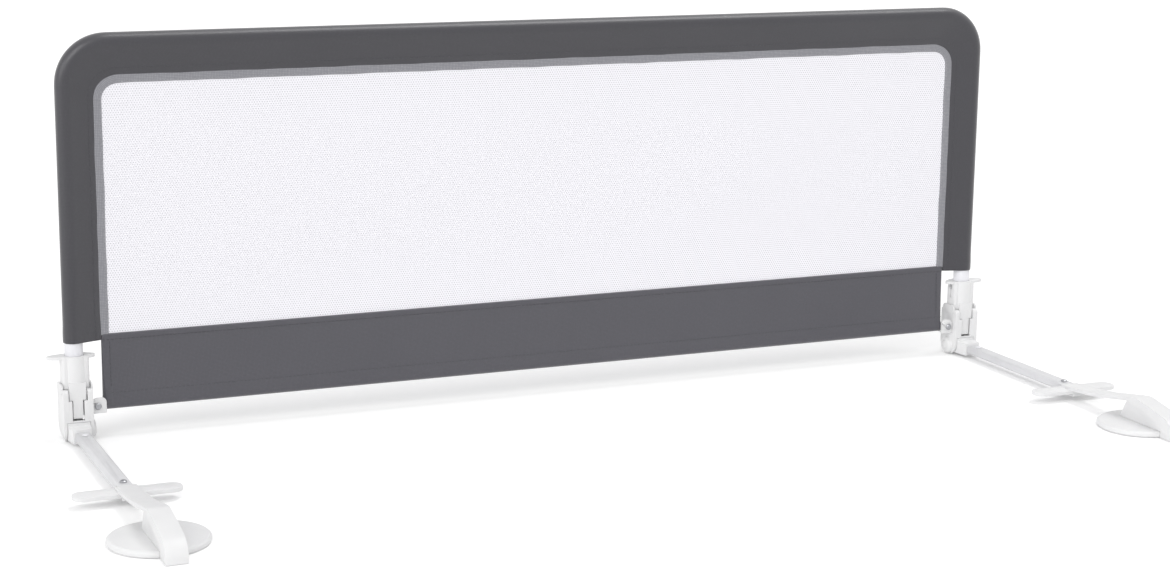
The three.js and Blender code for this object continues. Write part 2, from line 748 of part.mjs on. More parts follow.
function knuckleGeometry() {
  const pivotLine = [0, 0, pivotHeight];
  const barrel = rod(axisX, barrelRadius, -barrelWidth / 2, barrelWidth / 2, pivotLine, roundSides);
  const plan = new THREE.Shape([
    new THREE.Vector2(-barrelWidth / 2, 0),
    new THREE.Vector2(-barrelWidth / 2, -shoulderReach),
    new THREE.Vector2(-neckHalfWidth, -neckReach),
    new THREE.Vector2(neckHalfWidth, -neckReach),
    new THREE.Vector2(barrelWidth / 2, -shoulderReach),
    new THREE.Vector2(barrelWidth / 2, 0),
  ]);
  const neck = slabAlongZ(plan, 2 * neckHalfHeight).translate(0, 0, pivotHeight - neckHalfHeight);
  const notches = [-1, 1].map((side) => {
    const edges = [side * (barrelWidth / 2 - notchDepth), side * (barrelWidth / 2 + overrun)];
    return block(
      [Math.min(...edges), -shoulderReach + overrun, pivotHeight - notchHalfHeight],
      [Math.max(...edges), -barrelRadius, pivotHeight + notchHalfHeight],
    );
  });
  const spigotSection = armSection(armTubeWall + fitGap);
  const spigot = slabAlongY(spigotSection, spigotLength + overrun, smallCornerSteps);
  spigot.translate(0, -neckReach - (spigotLength - overrun) / 2, pivotHeight);
  const brow = block(
    [-barrelWidth / 2, -shoulderReach, pivotHeight],
    [barrelWidth / 2, -stopReach + overrun, housingOpenHeight - slideGap],
  );
  const stop = block(
    [-tongueWidth / 2, -stopReach, pivotHeight],
    [tongueWidth / 2, -tongueDepth / 2 - slideGap, stopHeight],
  );
  const pinHole = rod(axisX, pivotPinRadius + fitGap, -barrelWidth, barrelWidth, pivotLine);
  const rivetHole = rod(axisZ, armRivetRadius + fitGap, 0, 2 * pivotHeight, [0, -armRivetPlace, 0]);
  return cut(join(barrel, neck, spigot, stop, brow), pinHole, rivetHole, ...notches);
}

function pivotPinGeometry() {
  const seat = cheekOuter + fitGap + fitGap;
  const pin = turned([
    [0, -seat - pinHeadThickness],
    [pinHeadRadius, -seat - pinHeadThickness],
    [pinHeadRadius, -seat],
    [pivotPinRadius, -seat],
    [pivotPinRadius, pinReach - pivotPinRadius / 2],
    [pivotPinRadius * pinNoseShare, pinReach],
    [0, pinReach],
  ]);
  return pin.rotateY(Math.PI / 2);
}

// The cap that closes the boss over the pin's head.
function pivotCapGeometry() {
  const from = -cheekOuter - bossThickness;
  const to = -cheekOuter - pinHeadThickness - 3 * fitGap;
  return rod(axisX, pinHeadRadius, from, to);
}

function armTubeGeometry() {
  const outer = armSection(0);
  outer.holes.push(new THREE.Path(armSection(armTubeWall).getPoints(smallCornerSteps).reverse()));
  const length = armTubeEnd - armTubeStart;
  const tube = slabAlongY(outer, length, smallCornerSteps);
  tube.translate(0, -armTubeStart - length / 2, pivotHeight);
  const rivetHole = rod(axisZ, armRivetRadius + fitGap, 0, 2 * pivotHeight, [0, -armRivetPlace, 0]);
  const screwLine = [0, -clampScrewPlace, 0];
  const screwHole = rod(axisZ, clampScrewRadius + fitGap, pivotHeight, 2 * pivotHeight, screwLine);
  return cut(tube, rivetHole, screwHole);
}

function armRivetGeometry() {
  const halfGrip = armTubeHeight / 2 + fitGap;
  return turned([
    [0, -halfGrip - armRivetHeadHeight],
    [armRivetHeadRadius * rivetCrownShare, -halfGrip - armRivetHeadHeight],
    [armRivetHeadRadius, -halfGrip],
    [armRivetRadius, -halfGrip],
    [armRivetRadius, halfGrip],
    [armRivetHeadRadius, halfGrip],
    [armRivetHeadRadius * rivetCrownShare, halfGrip + armRivetHeadHeight],
    [0, halfGrip + armRivetHeadHeight],
  ]);
}

// Foot: distances run from the hinge axis towards the end of the arm
const footSpigotLength = 24;
const footHalfWidth = 9.8;
const footBandThickness = 4;
const footNeckRise = 1; // of the band's middle over the finger plate
const footNeckRiseShare = 0.4; // of the rise to the hump, half-way to the pad
const fingerPlateHalfLength = 50;
const fingerPlateHalfDepth = 11;
const fingerPlateRoundingShare = 0.9;
const fingerPlateThickness = 3.5;
const fingerPlateToPad = 119; // middle to middle
const armTubeToFingerPlate = 8;
const padRadius = 45;
const padThickness = 6;
const padRim = 2;
const padEndMargin = 20; // from the pad's edge to the end of the foot
const padHubRadius = 7;
const humpHeight = 29.6; // top of the band over the pad
const noseHeight = 20; // of the band's middle over the pad's front edge
const noseBendShares = [[0, 1], [0.6, 0.78], [0.94, 0.4], [1, 0.15], [1, 0]]; // of the nose's length and height
const hoodWall = 2.2; // side walls under the band
const hoodBackTop = 12; // from the pad's middle back to the walls' upper end
const hoodBackFoot = 23; // the same at the pad's top
const clampScrewRadius = 1.8;
const clampScrewInset = 9; // from the end of the arm tube
const clampScrewHeadHeight = 1.6;
const padPlace = armReach - padEndMargin - padRadius;
const fingerPlatePlace = padPlace - fingerPlateToPad;
const armTubeEnd = fingerPlatePlace - armTubeToFingerPlate;
const armTubeTop = pivotHeight + armTubeHeight / 2;
const clampScrewPlace = armTubeEnd - clampScrewInset;

// The band's middle line as places along the arm and heights, from the arm tube over the pad to the floor.
function bandLine() {
  const start = armTubeTop - footBandThickness / 2;
  const crest = humpHeight - footBandThickness / 2;
  const noseStart = padPlace + padRadius;
  const noseLength = padEndMargin - footBandThickness / 2;
  const nose = noseBendShares.map(([along, up]) => [noseStart + along * noseLength, up * noseHeight]);
  const places = [
    [armTubeEnd + fitGap, start],
    [fingerPlatePlace + fingerPlateHalfDepth, start + footNeckRise],
    [(fingerPlatePlace + padPlace) / 2, start + (crest - start) * footNeckRiseShare],
    [padPlace - padHubRadius, crest],
    [padPlace + padHubRadius, crest],
    ...nose,
  ];
  return new THREE.SplineCurve(places.map(([along, z]) => new THREE.Vector2(-along, z)));
}

function bandProfile() {
  const line = bandLine();
  const lower = [];
  const upper = [];
  for (let i = 0; i <= bandSteps; i += 1) {
    const point = line.getPoint(i / bandSteps);
    const tangent = line.getTangent(i / bandSteps);
    const across = new THREE.Vector2(-tangent.y, tangent.x).multiplyScalar(footBandThickness / 2);
    lower.push(point.clone().add(across));
    upper.push(point.clone().sub(across));
  }
  return new THREE.Shape(upper.concat(lower.reverse()));
}

// One side wall of the hood: the space between the band and the floor, from behind the hub to the nose.
function hoodSideShape() {
  const line = bandLine();
  const backTop = -padPlace + hoodBackTop;
  const backFoot = -padPlace + hoodBackFoot;
  const outline = [
    new THREE.Vector2(backFoot, 0),
    new THREE.Vector2(backFoot, padThickness),
    new THREE.Vector2(backTop, humpHeight - footBandThickness / 2),
  ];
  for (let i = 0; i <= bandSteps; i += 1) {
    const point = line.getPoint(i / bandSteps);
    if (point.x < backTop) outline.push(point);
  }
  return new THREE.Shape(outline);
}

function footGeometry() {
  const band = slabAlongX(bandProfile(), 2 * footHalfWidth);
  const wallPlace = footHalfWidth - hoodWall / 2;
  const walls = [-wallPlace, wallPlace].map((x) => {
    return slabAlongX(hoodSideShape(), hoodWall).translate(x, 0, 0);
  });
  const root = block(
    [-armTubeWidth / 2, -fingerPlatePlace - fingerPlateHalfDepth, pivotHeight - armTubeHeight / 2],
    [armTubeWidth / 2, -armTubeEnd - fitGap, armTubeTop],
  );
  const plateShape = roundedRectangle(
    [-fingerPlateHalfLength, -fingerPlatePlace - fingerPlateHalfDepth],
    [fingerPlateHalfLength, -fingerPlatePlace + fingerPlateHalfDepth],
    fingerPlateHalfDepth * fingerPlateRoundingShare,
  );
  const plate = slabAlongZ(plateShape, fingerPlateThickness);
  plate.translate(0, 0, pivotHeight - fingerPlateThickness / 2);
  const tubeSpace = block(
    [-armTubeWidth / 2 - fitGap, -armTubeEnd - fitGap, pivotHeight - armTubeHeight / 2 - fitGap],
    [armTubeWidth / 2 + fitGap, -armTubeEnd + fingerPlateHalfDepth, armTubeTop + fitGap],
  );
  const padTop = padThickness + fitGap;
  const padSpace = rod(axisZ, padRadius + fitGap, -overrun, padTop, [0, -padPlace, 0], 2 * roundSides);
  const body = cut(join(band, ...walls, root, plate), tubeSpace, padSpace);
  const spigotSection = armSection(armTubeWall + fitGap);
  const spigot = slabAlongY(spigotSection, footSpigotLength + overrun, smallCornerSteps);
  spigot.translate(0, -armTubeEnd + (footSpigotLength - overrun) / 2, pivotHeight);
  const clampLine = [0, -clampScrewPlace, 0];
  const clampHole = rod(axisZ, clampScrewRadius + fitGap, pivotHeight - fitGap, 2 * humpHeight, clampLine);
  const bandUnderside = humpHeight - footBandThickness / 2;
  const padHole = rod(axisZ, clampScrewRadius + fitGap, 0, bandUnderside, [0, -padPlace, 0]);
  return cut(join(body, spigot), clampHole, padHole);
}

function clampScrewGeometry() {
  return headed(
    clampScrewRadius,
    clampScrewRadius * screwHeadRadiusShare,
    clampScrewHeadHeight,
    pivotHeight,
    armTubeTop + fitGap,
  );
}

const padScrewHeadDepth = 1;

function padGeometry() {
  const hubTop = humpHeight - footBandThickness - fitGap;
  const headRadius = clampScrewRadius * screwHeadRadiusShare;
  const pad = turned([
    [0, 0],
    [padRadius - padRim / 2, 0],
    [padRadius, padRim],
    [padRadius, padThickness - padRim],
    [padRadius - padRim, padThickness],
    [padHubRadius, padThickness],
    [padHubRadius, hubTop],
    [0, hubTop],
  ], 2 * roundSides);
  const shank = rod(axisZ, clampScrewRadius + fitGap, -overrun, hubTop + overrun);
  const recess = rod(axisZ, headRadius + fitGap, -overrun, padScrewHeadDepth + screwHeadHeight + fitGap);
  return cut(pad, shank, recess);
}

function padScrewGeometry() {
  const screw = headed(
    clampScrewRadius,
    clampScrewRadius * screwHeadRadiusShare,
    screwHeadHeight,
    -(humpHeight - footBandThickness / 2 - fitGap),
    -padScrewHeadDepth - screwHeadHeight,
  );
  return screw.rotateX(Math.PI);
}

// Side lug on the housing: a domed plate with a shelf that holds the lower cross tube
const lugReach = 14;
const lugShelfReach = 11; // the shelf stays outside the skirt
const lugThickness = 2.6;
const lugScrewInset = 5.2; // from the lug's edge beside the cheek
const lugFront = hemOuter + fitGap + lugThickness;
const lugOverTube = 4;
const lugDomeShare = 0.7;
const lugTop = crossTubeHeight + crossTubeRadius + lugOverTube;
const lugBottom = crossTubeHeight - crossTubeRadius - fitGap - lugThickness;
const lugScrewRadius = 1.8;
const crossTubeEnd = legX - cheekOuter - fitGap;

function lugGeometry() {
  const from = -cheekOuter - fitGap - lugReach;
  const to = -cheekOuter - fitGap;
  const dome = lugDomeShare * (to - from) / 2;
  const face = roundedRectangle([from, lugBottom], [to, lugTop], [0, 0, dome, dome]);
  const plate = slabAlongY(face, lugThickness).translate(0, -lugFront + lugThickness / 2, 0);
  const shelf = block(
    [to - lugShelfReach, -lugFront, lugBottom],
    [to, lugFront - lugThickness, lugBottom + lugThickness],
  );
  const holePlace = [to - lugScrewInset, 0, crossTubeHeight];
  const hole = rod(axisY, lugScrewRadius + fitGap, -lugFront - overrun, 0, holePlace);
  return cut(join(plate, shelf), hole);
}

function lugScrewGeometry() {
  const screw = headed(
    lugScrewRadius,
    lugScrewRadius * screwHeadRadiusShare,
    screwHeadHeight,
    crossTubeRadius - 2 * crossTubeWall,
    lugFront + fitGap,
  );
  return screw.rotateX(Math.PI / 2);
}

function crossTubeGeometry() {
  const tube = straightTube(crossTubeRadius, crossTubeWall, 2 * crossTubeEnd - 2 * fitGap);
  const place = crossTubeEnd - lugScrewInset;
  const holeRadius = lugScrewRadius + fitGap;
  const holes = [-place, place].map((x) => {
    return rod(axisY, holeRadius, -crossTubeRadius - overrun, 0, [x, 0, 0]);
  });
  return cut(tube, ...holes);
}

// The pieces of one end, each drawn for the right-hand end and mirrored for the left
function addEnd(parent, hand, side) {
  const end = new THREE.Group();
  end.position.x = side * legX;
  parent.add(end);
  const add = (name, geometry, material, [x, y, z] = [0, 0, 0]) => {
    const handed = side < 0 ? otherHand(geometry) : geometry;
    addPiece(end, `${hand}_${name}`, handed, material, [side * x, y, z]);
  };
  add('hinge_housing', housingGeometry(), materials.whitePlastic);
  add('housing_screw', housingScrew(), materials.zincSteel, [0, 0, housingScrewHeight]);
  add('side_lug', lugGeometry(), materials.whitePlastic);
  const lugScrewPlace = -cheekOuter - fitGap - lugScrewInset;
  add('lug_screw', lugScrewGeometry(), materials.zincSteel, [lugScrewPlace, 0, crossTubeHeight]);
  add('lock_slider', sliderGeometry(), materials.whitePlastic);
  add('lock_tongue', tongueGeometry(), materials.whitePlastic);
  add('lock_spring', springGeometry(), materials.springSteel, [0, 0, springBottom]);
  add('spring_seat', springSeatGeometry(), materials.whitePlastic, [0, 0, springSeatHeight]);
  add('knuckle', knuckleGeometry(), materials.whitePlastic);
  add('pivot_pin', pivotPinGeometry(), materials.zincSteel, [0, 0, pivotHeight]);
  add('pivot_cap', pivotCapGeometry(), materials.whitePlastic, [0, 0, pivotHeight]);
  add('arm_tube', armTubeGeometry(), materials.whiteSteel);
  add('arm_rivet', armRivetGeometry(), materials.zincSteel, [0, -armRivetPlace, pivotHeight]);
  add('foot', footGeometry(), materials.whitePlastic);
  add('clamp_screw', clampScrewGeometry(), materials.zincSteel, [0, -clampScrewPlace, 0]);
  add('foot_pad', padGeometry(), materials.whitePlastic, [0, -padPlace, 0]);
  add('pad_screw', padScrewGeometry(), materials.zincSteel, [0, -padPlace, 0]);
}

addFrame(rail);
addFabric(rail);
addPiece(rail, 'lower_cross_tube', crossTubeGeometry(), materials.whiteSteel, [0, 0, crossTubeHeight]);
addEnd(rail, 'left', -1);
addEnd(rail, 'right', 1);

// Shift the rail so that the origin lies under the middle of its box.
const box = new THREE.Box3().setFromObject(rail);
rail.position.y = -(box.min.y + box.max.y) / 2;
console.log(`hinge axis at x ${legX}, y ${rail.position.y.toFixed(3)}, z ${pivotHeight} mm`);
console.log(`floor at z ${box.min.z.toFixed(3)} mm`);

const assembly = new THREE.Group();
assembly.add(rail);

export default assembly;
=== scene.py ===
"""Looks of the folding bed guard rail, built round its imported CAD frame.

The rail is a steel tube frame in a fabric cover with a net window. It stands on two sprung hinges,
whose arms reach under a mattress. Finished meshes are in metres, in the frame of the CAD model.
Lengths are in millimetres in the classes of the rail, and in metres in the studio.
"""

import json
import logging
import math
from collections.abc import Callable, Sequence
from dataclasses import dataclass, field
from enum import Enum
from functools import partial

import bpy
import numpy as np
from mathutils import Matrix, Vector

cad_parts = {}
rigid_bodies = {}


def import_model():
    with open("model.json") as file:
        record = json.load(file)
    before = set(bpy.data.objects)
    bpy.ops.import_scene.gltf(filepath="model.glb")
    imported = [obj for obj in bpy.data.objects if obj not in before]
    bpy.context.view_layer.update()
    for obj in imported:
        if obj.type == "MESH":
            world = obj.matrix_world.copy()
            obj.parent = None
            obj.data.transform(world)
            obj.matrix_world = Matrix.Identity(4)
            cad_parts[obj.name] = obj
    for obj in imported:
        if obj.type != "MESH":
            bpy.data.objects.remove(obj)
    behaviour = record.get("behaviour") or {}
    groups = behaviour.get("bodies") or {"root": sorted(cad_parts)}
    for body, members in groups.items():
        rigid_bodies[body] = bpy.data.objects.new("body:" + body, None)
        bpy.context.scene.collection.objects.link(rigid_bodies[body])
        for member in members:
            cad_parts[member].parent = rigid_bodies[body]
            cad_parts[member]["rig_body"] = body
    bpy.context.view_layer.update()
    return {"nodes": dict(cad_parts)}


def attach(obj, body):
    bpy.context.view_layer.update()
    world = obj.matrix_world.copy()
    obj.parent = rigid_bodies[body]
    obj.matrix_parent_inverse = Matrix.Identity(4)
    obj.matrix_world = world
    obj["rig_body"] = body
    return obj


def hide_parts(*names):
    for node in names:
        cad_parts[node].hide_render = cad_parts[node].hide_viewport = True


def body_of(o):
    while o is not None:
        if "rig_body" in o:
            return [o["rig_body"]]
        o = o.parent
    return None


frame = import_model()

log = logging.getLogger("bed_rail")
MM = 0.001

# Shared places of the rail, in millimetres, in the row frame
HINGE_X = 510.0
HINGE_Y = 196.48
TOP_Z = 390.0
CORNER_RADIUS = 40.0

# Cloth: levels of subdivision, and how far a drawn wave length may be from the one asked for
CLOTH_ROUNDS = 1
WAVE_SPREAD = 0.15


class Hand(Enum):
    """The two ends of the rail, with the sign of their X."""

    LEFT = -1
    RIGHT = 1

    @property
    def word(self) -> str:
        """The hand as it stands in the names of nodes."""
        return self.name.lower()


# ---- Materials ----

# Types that come back often; a section is a row of points in millimetres
Finish = bpy.types.Material
Piece = bpy.types.Object
Point = tuple[float, float, float]
Section = Sequence[Point]


def linear(code: str) -> tuple[float, float, float, float]:
    """Turns an sRGB hex value to linear colour.

    Args:
        code: Six hex digits after their mark.

    Returns:
        Red, green and blue, linear, and a full alpha.
    """
    channels = []
    for start in (1, 3, 5):
        value = int(code[start:start + 2], 16) / 255
        channels.append(value / 12.92 if value <= 0.04045 else ((value + 0.055) / 1.055) ** 2.4)
    return (*channels, 1.0)


WHITE = linear("#FFFFFF")

# A Mix node's two colours go by number, because other inputs of it have the same names
MIX_A = 6
MIX_B = 7


def add_node(
    tree: bpy.types.NodeTree, kind: str, links: dict | None = None, **settings: object
) -> bpy.types.Node:
    """Adds one shader node with its settings and links.

    Args:
        tree: The node tree.
        kind: The node's type name without its ShaderNode start.
        links: Input name or number to an output, to a node for its first output, or to a value.
        **settings: Properties of the node.

    Returns:
        The new node.
    """
    node = tree.nodes.new("ShaderNode" + kind)
    for name, value in settings.items():
        setattr(node, name, value)
    for name, source in (links or {}).items():
        if isinstance(source, bpy.types.Node):
            source = next(socket for socket in source.outputs if socket.enabled)
        if isinstance(source, bpy.types.NodeSocket):
            tree.links.new(source, node.inputs[name])
        else:
            node.inputs[name].default_value = source
    return node


def new_material(name: str) -> tuple[Finish, Callable[..., bpy.types.Node]]:
    """Makes a material with an empty node tree.

    Args:
        name: The material's name.

    Returns:
        The material, and add_node for its own tree.
    """
    material = bpy.data.materials.new(name)
    material.use_nodes = True
    material.node_tree.nodes.clear()
    return material, partial(add_node, material.node_tree)


def close_material(material: Finish, sockets: dict) -> Finish:
    """Gives a material its Principled shader and its output.

    Args:
        material: The material, its patterns already there.
        sockets: The shader's links and values.

    Returns:
        The same material.
    """
    shader = add_node(material.node_tree, "BsdfPrincipled", sockets)
    add_node(material.node_tree, "OutputMaterial", {"Surface": shader})
    return material


def repeats(size_mm: float) -> float:
    """How often a pattern of this size in millimetres repeats in a metre."""
    return 1 / (size_mm * MM)


@dataclass(frozen=True)
class MouldedPlastic:
    """Injection moulded polypropylene: a fine satin grain, soft highlights and slight sinks with
    painted shade in them.
    """

    name: str = "moulded polypropylene"
    colour: str = "#E9E9E9"
    shade: str = "#E0E0E1"
    ior: float = 1.49
    smoothest: float = 0.36
    roughest: float = 0.5
    grain_mm: float = 0.9
    grain_depth_mm: float = 0.05
    sink_mm: float = 26.0
    sink_depth_mm: float = 0.6

    def build(self) -> Finish:
        """Makes the material.

        Returns:
            The node-based material.
        """
        material, node = new_material(self.name)
        place = node("TexCoord").outputs["Object"]
        sink = node("TexNoise", {"Vector": place, "Scale": repeats(self.sink_mm), "Detail": 2.0})
        grain = node("TexNoise", {"Vector": place, "Scale": repeats(self.grain_mm), "Detail": 3.0})
        # Painted shade: the colour darkens to the shade colour in the sinks, where the same noise
        # dents the surface
        colours = {"Factor": sink, MIX_A: linear(self.shade), MIX_B: linear(self.colour)}
        span = {"Value": grain, "To Min": self.smoothest, "To Max": self.roughest}
        sags = node("Bump", {"Height": sink, "Strength": 0.12, "Distance": self.sink_depth_mm * MM})
        fine = {"Height": grain, "Strength": 0.18, "Distance": self.grain_depth_mm * MM}
        return close_material(material, {
            "Base Color": node("Mix", colours, data_type="RGBA"),
            "Roughness": node("MapRange", span),
            "Normal": node("Bump", fine | {"Normal": sags}),
            "IOR": self.ior,
        })


@dataclass(frozen=True)
class PowderCoat:
    """Powder coated steel: a hard white skin with a slight orange peel and worn, rougher spots."""

    name: str = "powder coated steel"
    colour: str = "#EBEBEF"
    worn: str = "#E4E4E8"
    ior: float = 1.5
    smoothest: float = 0.25
    roughest: float = 0.42
    peel_mm: float = 2.4
    peel_depth_mm: float = 0.06
    scuff_mm: float = 34.0

    def build(self) -> Finish:
        """Makes the material.

        Returns:
            The node-based material.
        """
        material, node = new_material(self.name)
        place = node("TexCoord").outputs["Object"]
        peel = node("TexNoise", {"Vector": place, "Scale": repeats(self.peel_mm), "Detail": 1.0})
        scuff = node("TexNoise", {"Vector": place, "Scale": repeats(self.scuff_mm), "Detail": 6.0})
        marks = node("MapRange", {"Value": scuff, "From Min": 0.5, "From Max": 0.8})
        colours = {"Factor": marks, MIX_A: linear(self.colour), MIX_B: linear(self.worn)}
        span = {"Value": scuff, "To Min": self.smoothest, "To Max": self.roughest}
        skin = {"Height": peel, "Strength": 0.25, "Distance": self.peel_depth_mm * MM}
        return close_material(material, {
            "Base Color": node("Mix", colours, data_type="RGBA"),
            "Roughness": node("MapRange", span),
            "Normal": node("Bump", skin),
            "IOR": self.ior,
        })


@dataclass(frozen=True)
class PlatedSteel:
    """Zinc plated or bright spring steel: grey metal with a fine drawn grain."""

    name: str = "zinc plated steel"
    colour: str = "#B4B5B8"
    dull: str = "#9FA0A4"
    smoothest: float = 0.24
    roughest: float = 0.48
    grain_mm: float = 0.5

    def build(self) -> Finish:
        """Makes the material.

        Returns:
            The node-based material.
        """
        material, node = new_material(self.name)
        place = node("TexCoord").outputs["Object"]
        grain = node("TexNoise", {"Vector": place, "Scale": repeats(self.grain_mm), "Detail": 4.0})
        colours = {"Factor": grain, MIX_A: linear(self.dull), MIX_B: linear(self.colour)}
        span = {"Value": grain, "To Min": self.smoothest, "To Max": self.roughest}
        return close_material(material, {
            "Base Color": node("Mix", colours, data_type="RGBA"),
            "Roughness": node("MapRange", span),
            "Metallic": 1.0,
        })


@dataclass(frozen=True)
class WovenPolyester:
    """Plain woven polyester: crossing threads seen as a fine even grain, painted shade between
    them, matt with a soft sheen.

    The threads of the real cloth are about 0.35 mm, too fine to show here, so they are coarser.
    Its face is pressed smooth after weaving, which draws a soft line of light along a curve.
    """

    name: str
    colour: str
    # Darker colour for the painted shade between the threads and for the faded patches
    dark: str
    thread_mm: float = 1.3
    depth_mm: float = 0.12
    slub_threads: float = 2.0
    fade_mm: float = 90.0
    faded: float = 0.85
    # Painted shade between the threads: the colour's level in the hollows, and the weave level at
    # full colour
    hollow: float = 0.25
    crown: float = 0.6
    roughness: float = 0.4
    sheen: float = 0.2
    shine: float = 0.6
    pressed: float = 0.5
    pressed_roughness: float = 0.33

    def build(self) -> Finish:
        """Makes the material, its threads on the piece's own UV map, in millimetres.

        Returns:
            The node-based material.
        """
        material, node = new_material(self.name)
        uv = node("UVMap", uv_map="Cloth")
        parts = node("SeparateXYZ", {"Vector": uv})
        ridges = []
        for axis in ("X", "Y"):
            turn = {0: parts.outputs[axis], 1: math.pi / self.thread_mm}
            wave = node("Math", {0: node("Math", turn, operation="MULTIPLY")}, operation="SINE")
            ridges.append(node("Math", {0: wave, 1: wave}, operation="MULTIPLY"))
        cross = node("Math", {0: ridges[0], 1: ridges[1]}, operation="MULTIPLY")
        patches = {"Vector": uv, "Scale": 1 / self.fade_mm, "Detail": 3.0}
        fade = node("TexNoise", patches, noise_dimensions="2D")
        lumps = {"Vector": uv, "Scale": 1 / (self.slub_threads * self.thread_mm), "Detail": 2.0}
        slub = node("TexNoise", lumps, noise_dimensions="2D")
        weave = node("Math", {0: cross, 1: slub}, operation="MULTIPLY")
        # Painted shade: the colour darkens in the hollows between the threads
        shade = node("MapRange", {"Value": weave, "From Max": self.crown, "To Min": self.hollow})
        level = {"Value": fade, "From Min": 0.3, "From Max": 0.7, "To Min": self.faded}
        hollow_shade_and_fade = node("Math", {0: shade, 1: node("MapRange", level)}, operation="MULTIPLY")
        colours = {"Factor": hollow_shade_and_fade, MIX_A: linear(self.dark), MIX_B: linear(self.colour)}
        relief = {"Height": weave, "Strength": 0.7, "Distance": self.depth_mm * MM}
        return close_material(material, {
            "Base Color": node("Mix", colours, data_type="RGBA"),
            "Normal": node("Bump", relief),
            "Roughness": self.roughness, "IOR": 1.45, "Specular IOR Level": self.shine,
            "Sheen Weight": self.sheen, "Sheen Roughness": 0.45,
            "Coat Weight": self.pressed, "Coat Roughness": self.pressed_roughness,
        })


@dataclass(frozen=True)
class KnittedNet:
    """Warp knitted polyester net: white yarn round small holes in staggered rows, painted shade in
    the holes.

    The real holes are about 1 mm at a pitch of 2 mm, drawn a little coarser so that they show.
    """

    name: str = "warp knitted polyester net"
    colour: str = "#F3F2F7"
    # Colour of the painted shade in the holes
    shade: str = "#E9E8EE"
    pitch_mm: float = 2.6
    hole_mm: float = 0.9
    edge_mm: float = 0.35
    yarn_depth_mm: float = 0.2
    hole_clear: float = 0.3

    def build(self) -> Finish:
        """Makes the material, its holes on the piece's own UV map, in millimetres.

        Returns:
            The node-based material.
        """
        material, node = new_material(self.name)
        uv = node("UVMap", uv_map="Cloth")
        row_mm = self.pitch_mm * math.sqrt(3)
        cell = (self.pitch_mm, row_mm, 0.0)
        grids = []
        # Two grids of holes, the second half a cell on, make the staggered rows
        for shift in (0.0, 0.5):
            grid = {"Vector": uv, "Location": (shift, shift, 0.0)}
            grid["Scale"] = (1 / self.pitch_mm, 1 / row_mm, 1.0)
            place = node("VectorMath", {0: node("Mapping", grid)}, operation="FRACTION")
            centred = node("VectorMath", {0: place, 1: (0.5, 0.5, 0.0)}, operation="SUBTRACT")
            real = node("VectorMath", {0: centred, 1: cell}, operation="MULTIPLY")
            grids.append(node("VectorMath", {0: real}, operation="LENGTH"))
        near = node("Math", {0: grids[0], 1: grids[1]}, operation="MINIMUM")
        rim = self.hole_mm / 2
        yarn = node("MapRange", {"Value": near, "From Min": rim, "From Max": rim + self.edge_mm})
        # Painted shade: the holes are drawn partly opaque in the darker shade colour
        colours = {"Factor": yarn, MIX_A: linear(self.shade), MIX_B: linear(self.colour)}
        relief = {"Height": yarn, "Strength": 0.5, "Distance": self.yarn_depth_mm * MM}
        return close_material(material, {
            "Base Color": node("Mix", colours, data_type="RGBA"),
            "Alpha": node("MapRange", {"Value": yarn, "To Min": 1 - self.hole_clear}),
            "Normal": node("Bump", relief),
            "Roughness": 0.8, "IOR": 1.45, "Specular IOR Level": 0.3, "Sheen Weight": 0.25,
        })


@dataclass(frozen=True)
class SewingThread:
    """Polyester sewing thread: a matt twisted strand."""

    name: str = "polyester sewing thread"
    colour: str = "#4C4B51"
    dark: str = "#3A393E"
    twist_mm: float = 0.6
    twist_depth_mm: float = 0.1

    def build(self) -> Finish:
        """Makes the material.

        Returns:
            The node-based material.
        """
        material, node = new_material(self.name)
        place = node("TexCoord").outputs["Object"]
        twist = node("TexNoise", {"Vector": place, "Scale": repeats(self.twist_mm), "Detail": 2.0})
        colours = {"Factor": twist, MIX_A: linear(self.dark), MIX_B: linear(self.colour)}
        relief = {"Height": twist, "Strength": 0.3, "Distance": self.twist_depth_mm * MM}
        return close_material(material, {
            "Base Color": node("Mix", colours, data_type="RGBA"),
            "Normal": node("Bump", relief),
            "Roughness": 0.75, "Sheen Weight": 0.2,
        })


@dataclass(frozen=True)
class Palette:
    """Every finish of the rail, made once and shared."""

    plastic: Finish = field(default_factory=MouldedPlastic().build)
    steel: Finish = field(default_factory=PowderCoat().build)
    # Painted shade: the arms are the same white powder coat, given a greyer colour for the shade on
    # their tops
    arm_steel: Finish = field(
        default_factory=PowderCoat("powder coated flat steel", "#D6D6D8", "#CFCFD1").build
    )
    zinc: Finish = field(default_factory=PlatedSteel().build)
    spring: Finish = field(default_factory=PlatedSteel("hard drawn spring steel", "#8D8F94").build)
    cloth: Finish = field(
        default_factory=WovenPolyester("woven grey polyester", "#3D3C43", "#26252B").build
    )
    # Painted light: the skirt is the same grey cloth as the border, given a lighter colour for the
    # light that falls on it
    skirt_cloth: Finish = field(
        default_factory=WovenPolyester(
            "woven grey polyester, two layers", "#55545B", "#393840"
        ).build
    )
    tape: Finish = field(
        default_factory=WovenPolyester(
            "woven light grey binding tape", "#AAAAB0", "#6A6A70", thread_mm=1.6, depth_mm=0.2
        ).build
    )
    net: Finish = field(default_factory=KnittedNet().build)
    thread: Finish = field(default_factory=SewingThread().build)
    pale_thread: Finish = field(
        default_factory=SewingThread("pale sewing thread", "#B8B8BC", "#96969A").build
    )


# ---- Shop: meshes and their finish ----


def mesh_object(name: str, points: np.ndarray, faces: Sequence[Sequence[int]]) -> Piece:
    """Makes a mesh object.

    Args:
        name: The piece's name.
        points: Points in millimetres, in the row frame.
        faces: Corner numbers of each face.

    Returns:
        The object, in the scene.
    """
    mesh = bpy.data.meshes.new(name)
    mesh.from_pydata([tuple(p) for p in np.asarray(points, float) * MM], [], list(faces))
    mesh.validate()
    mesh.update()
    piece = bpy.data.objects.new(name, mesh)
    bpy.context.scene.collection.objects.link(piece)
    return piece


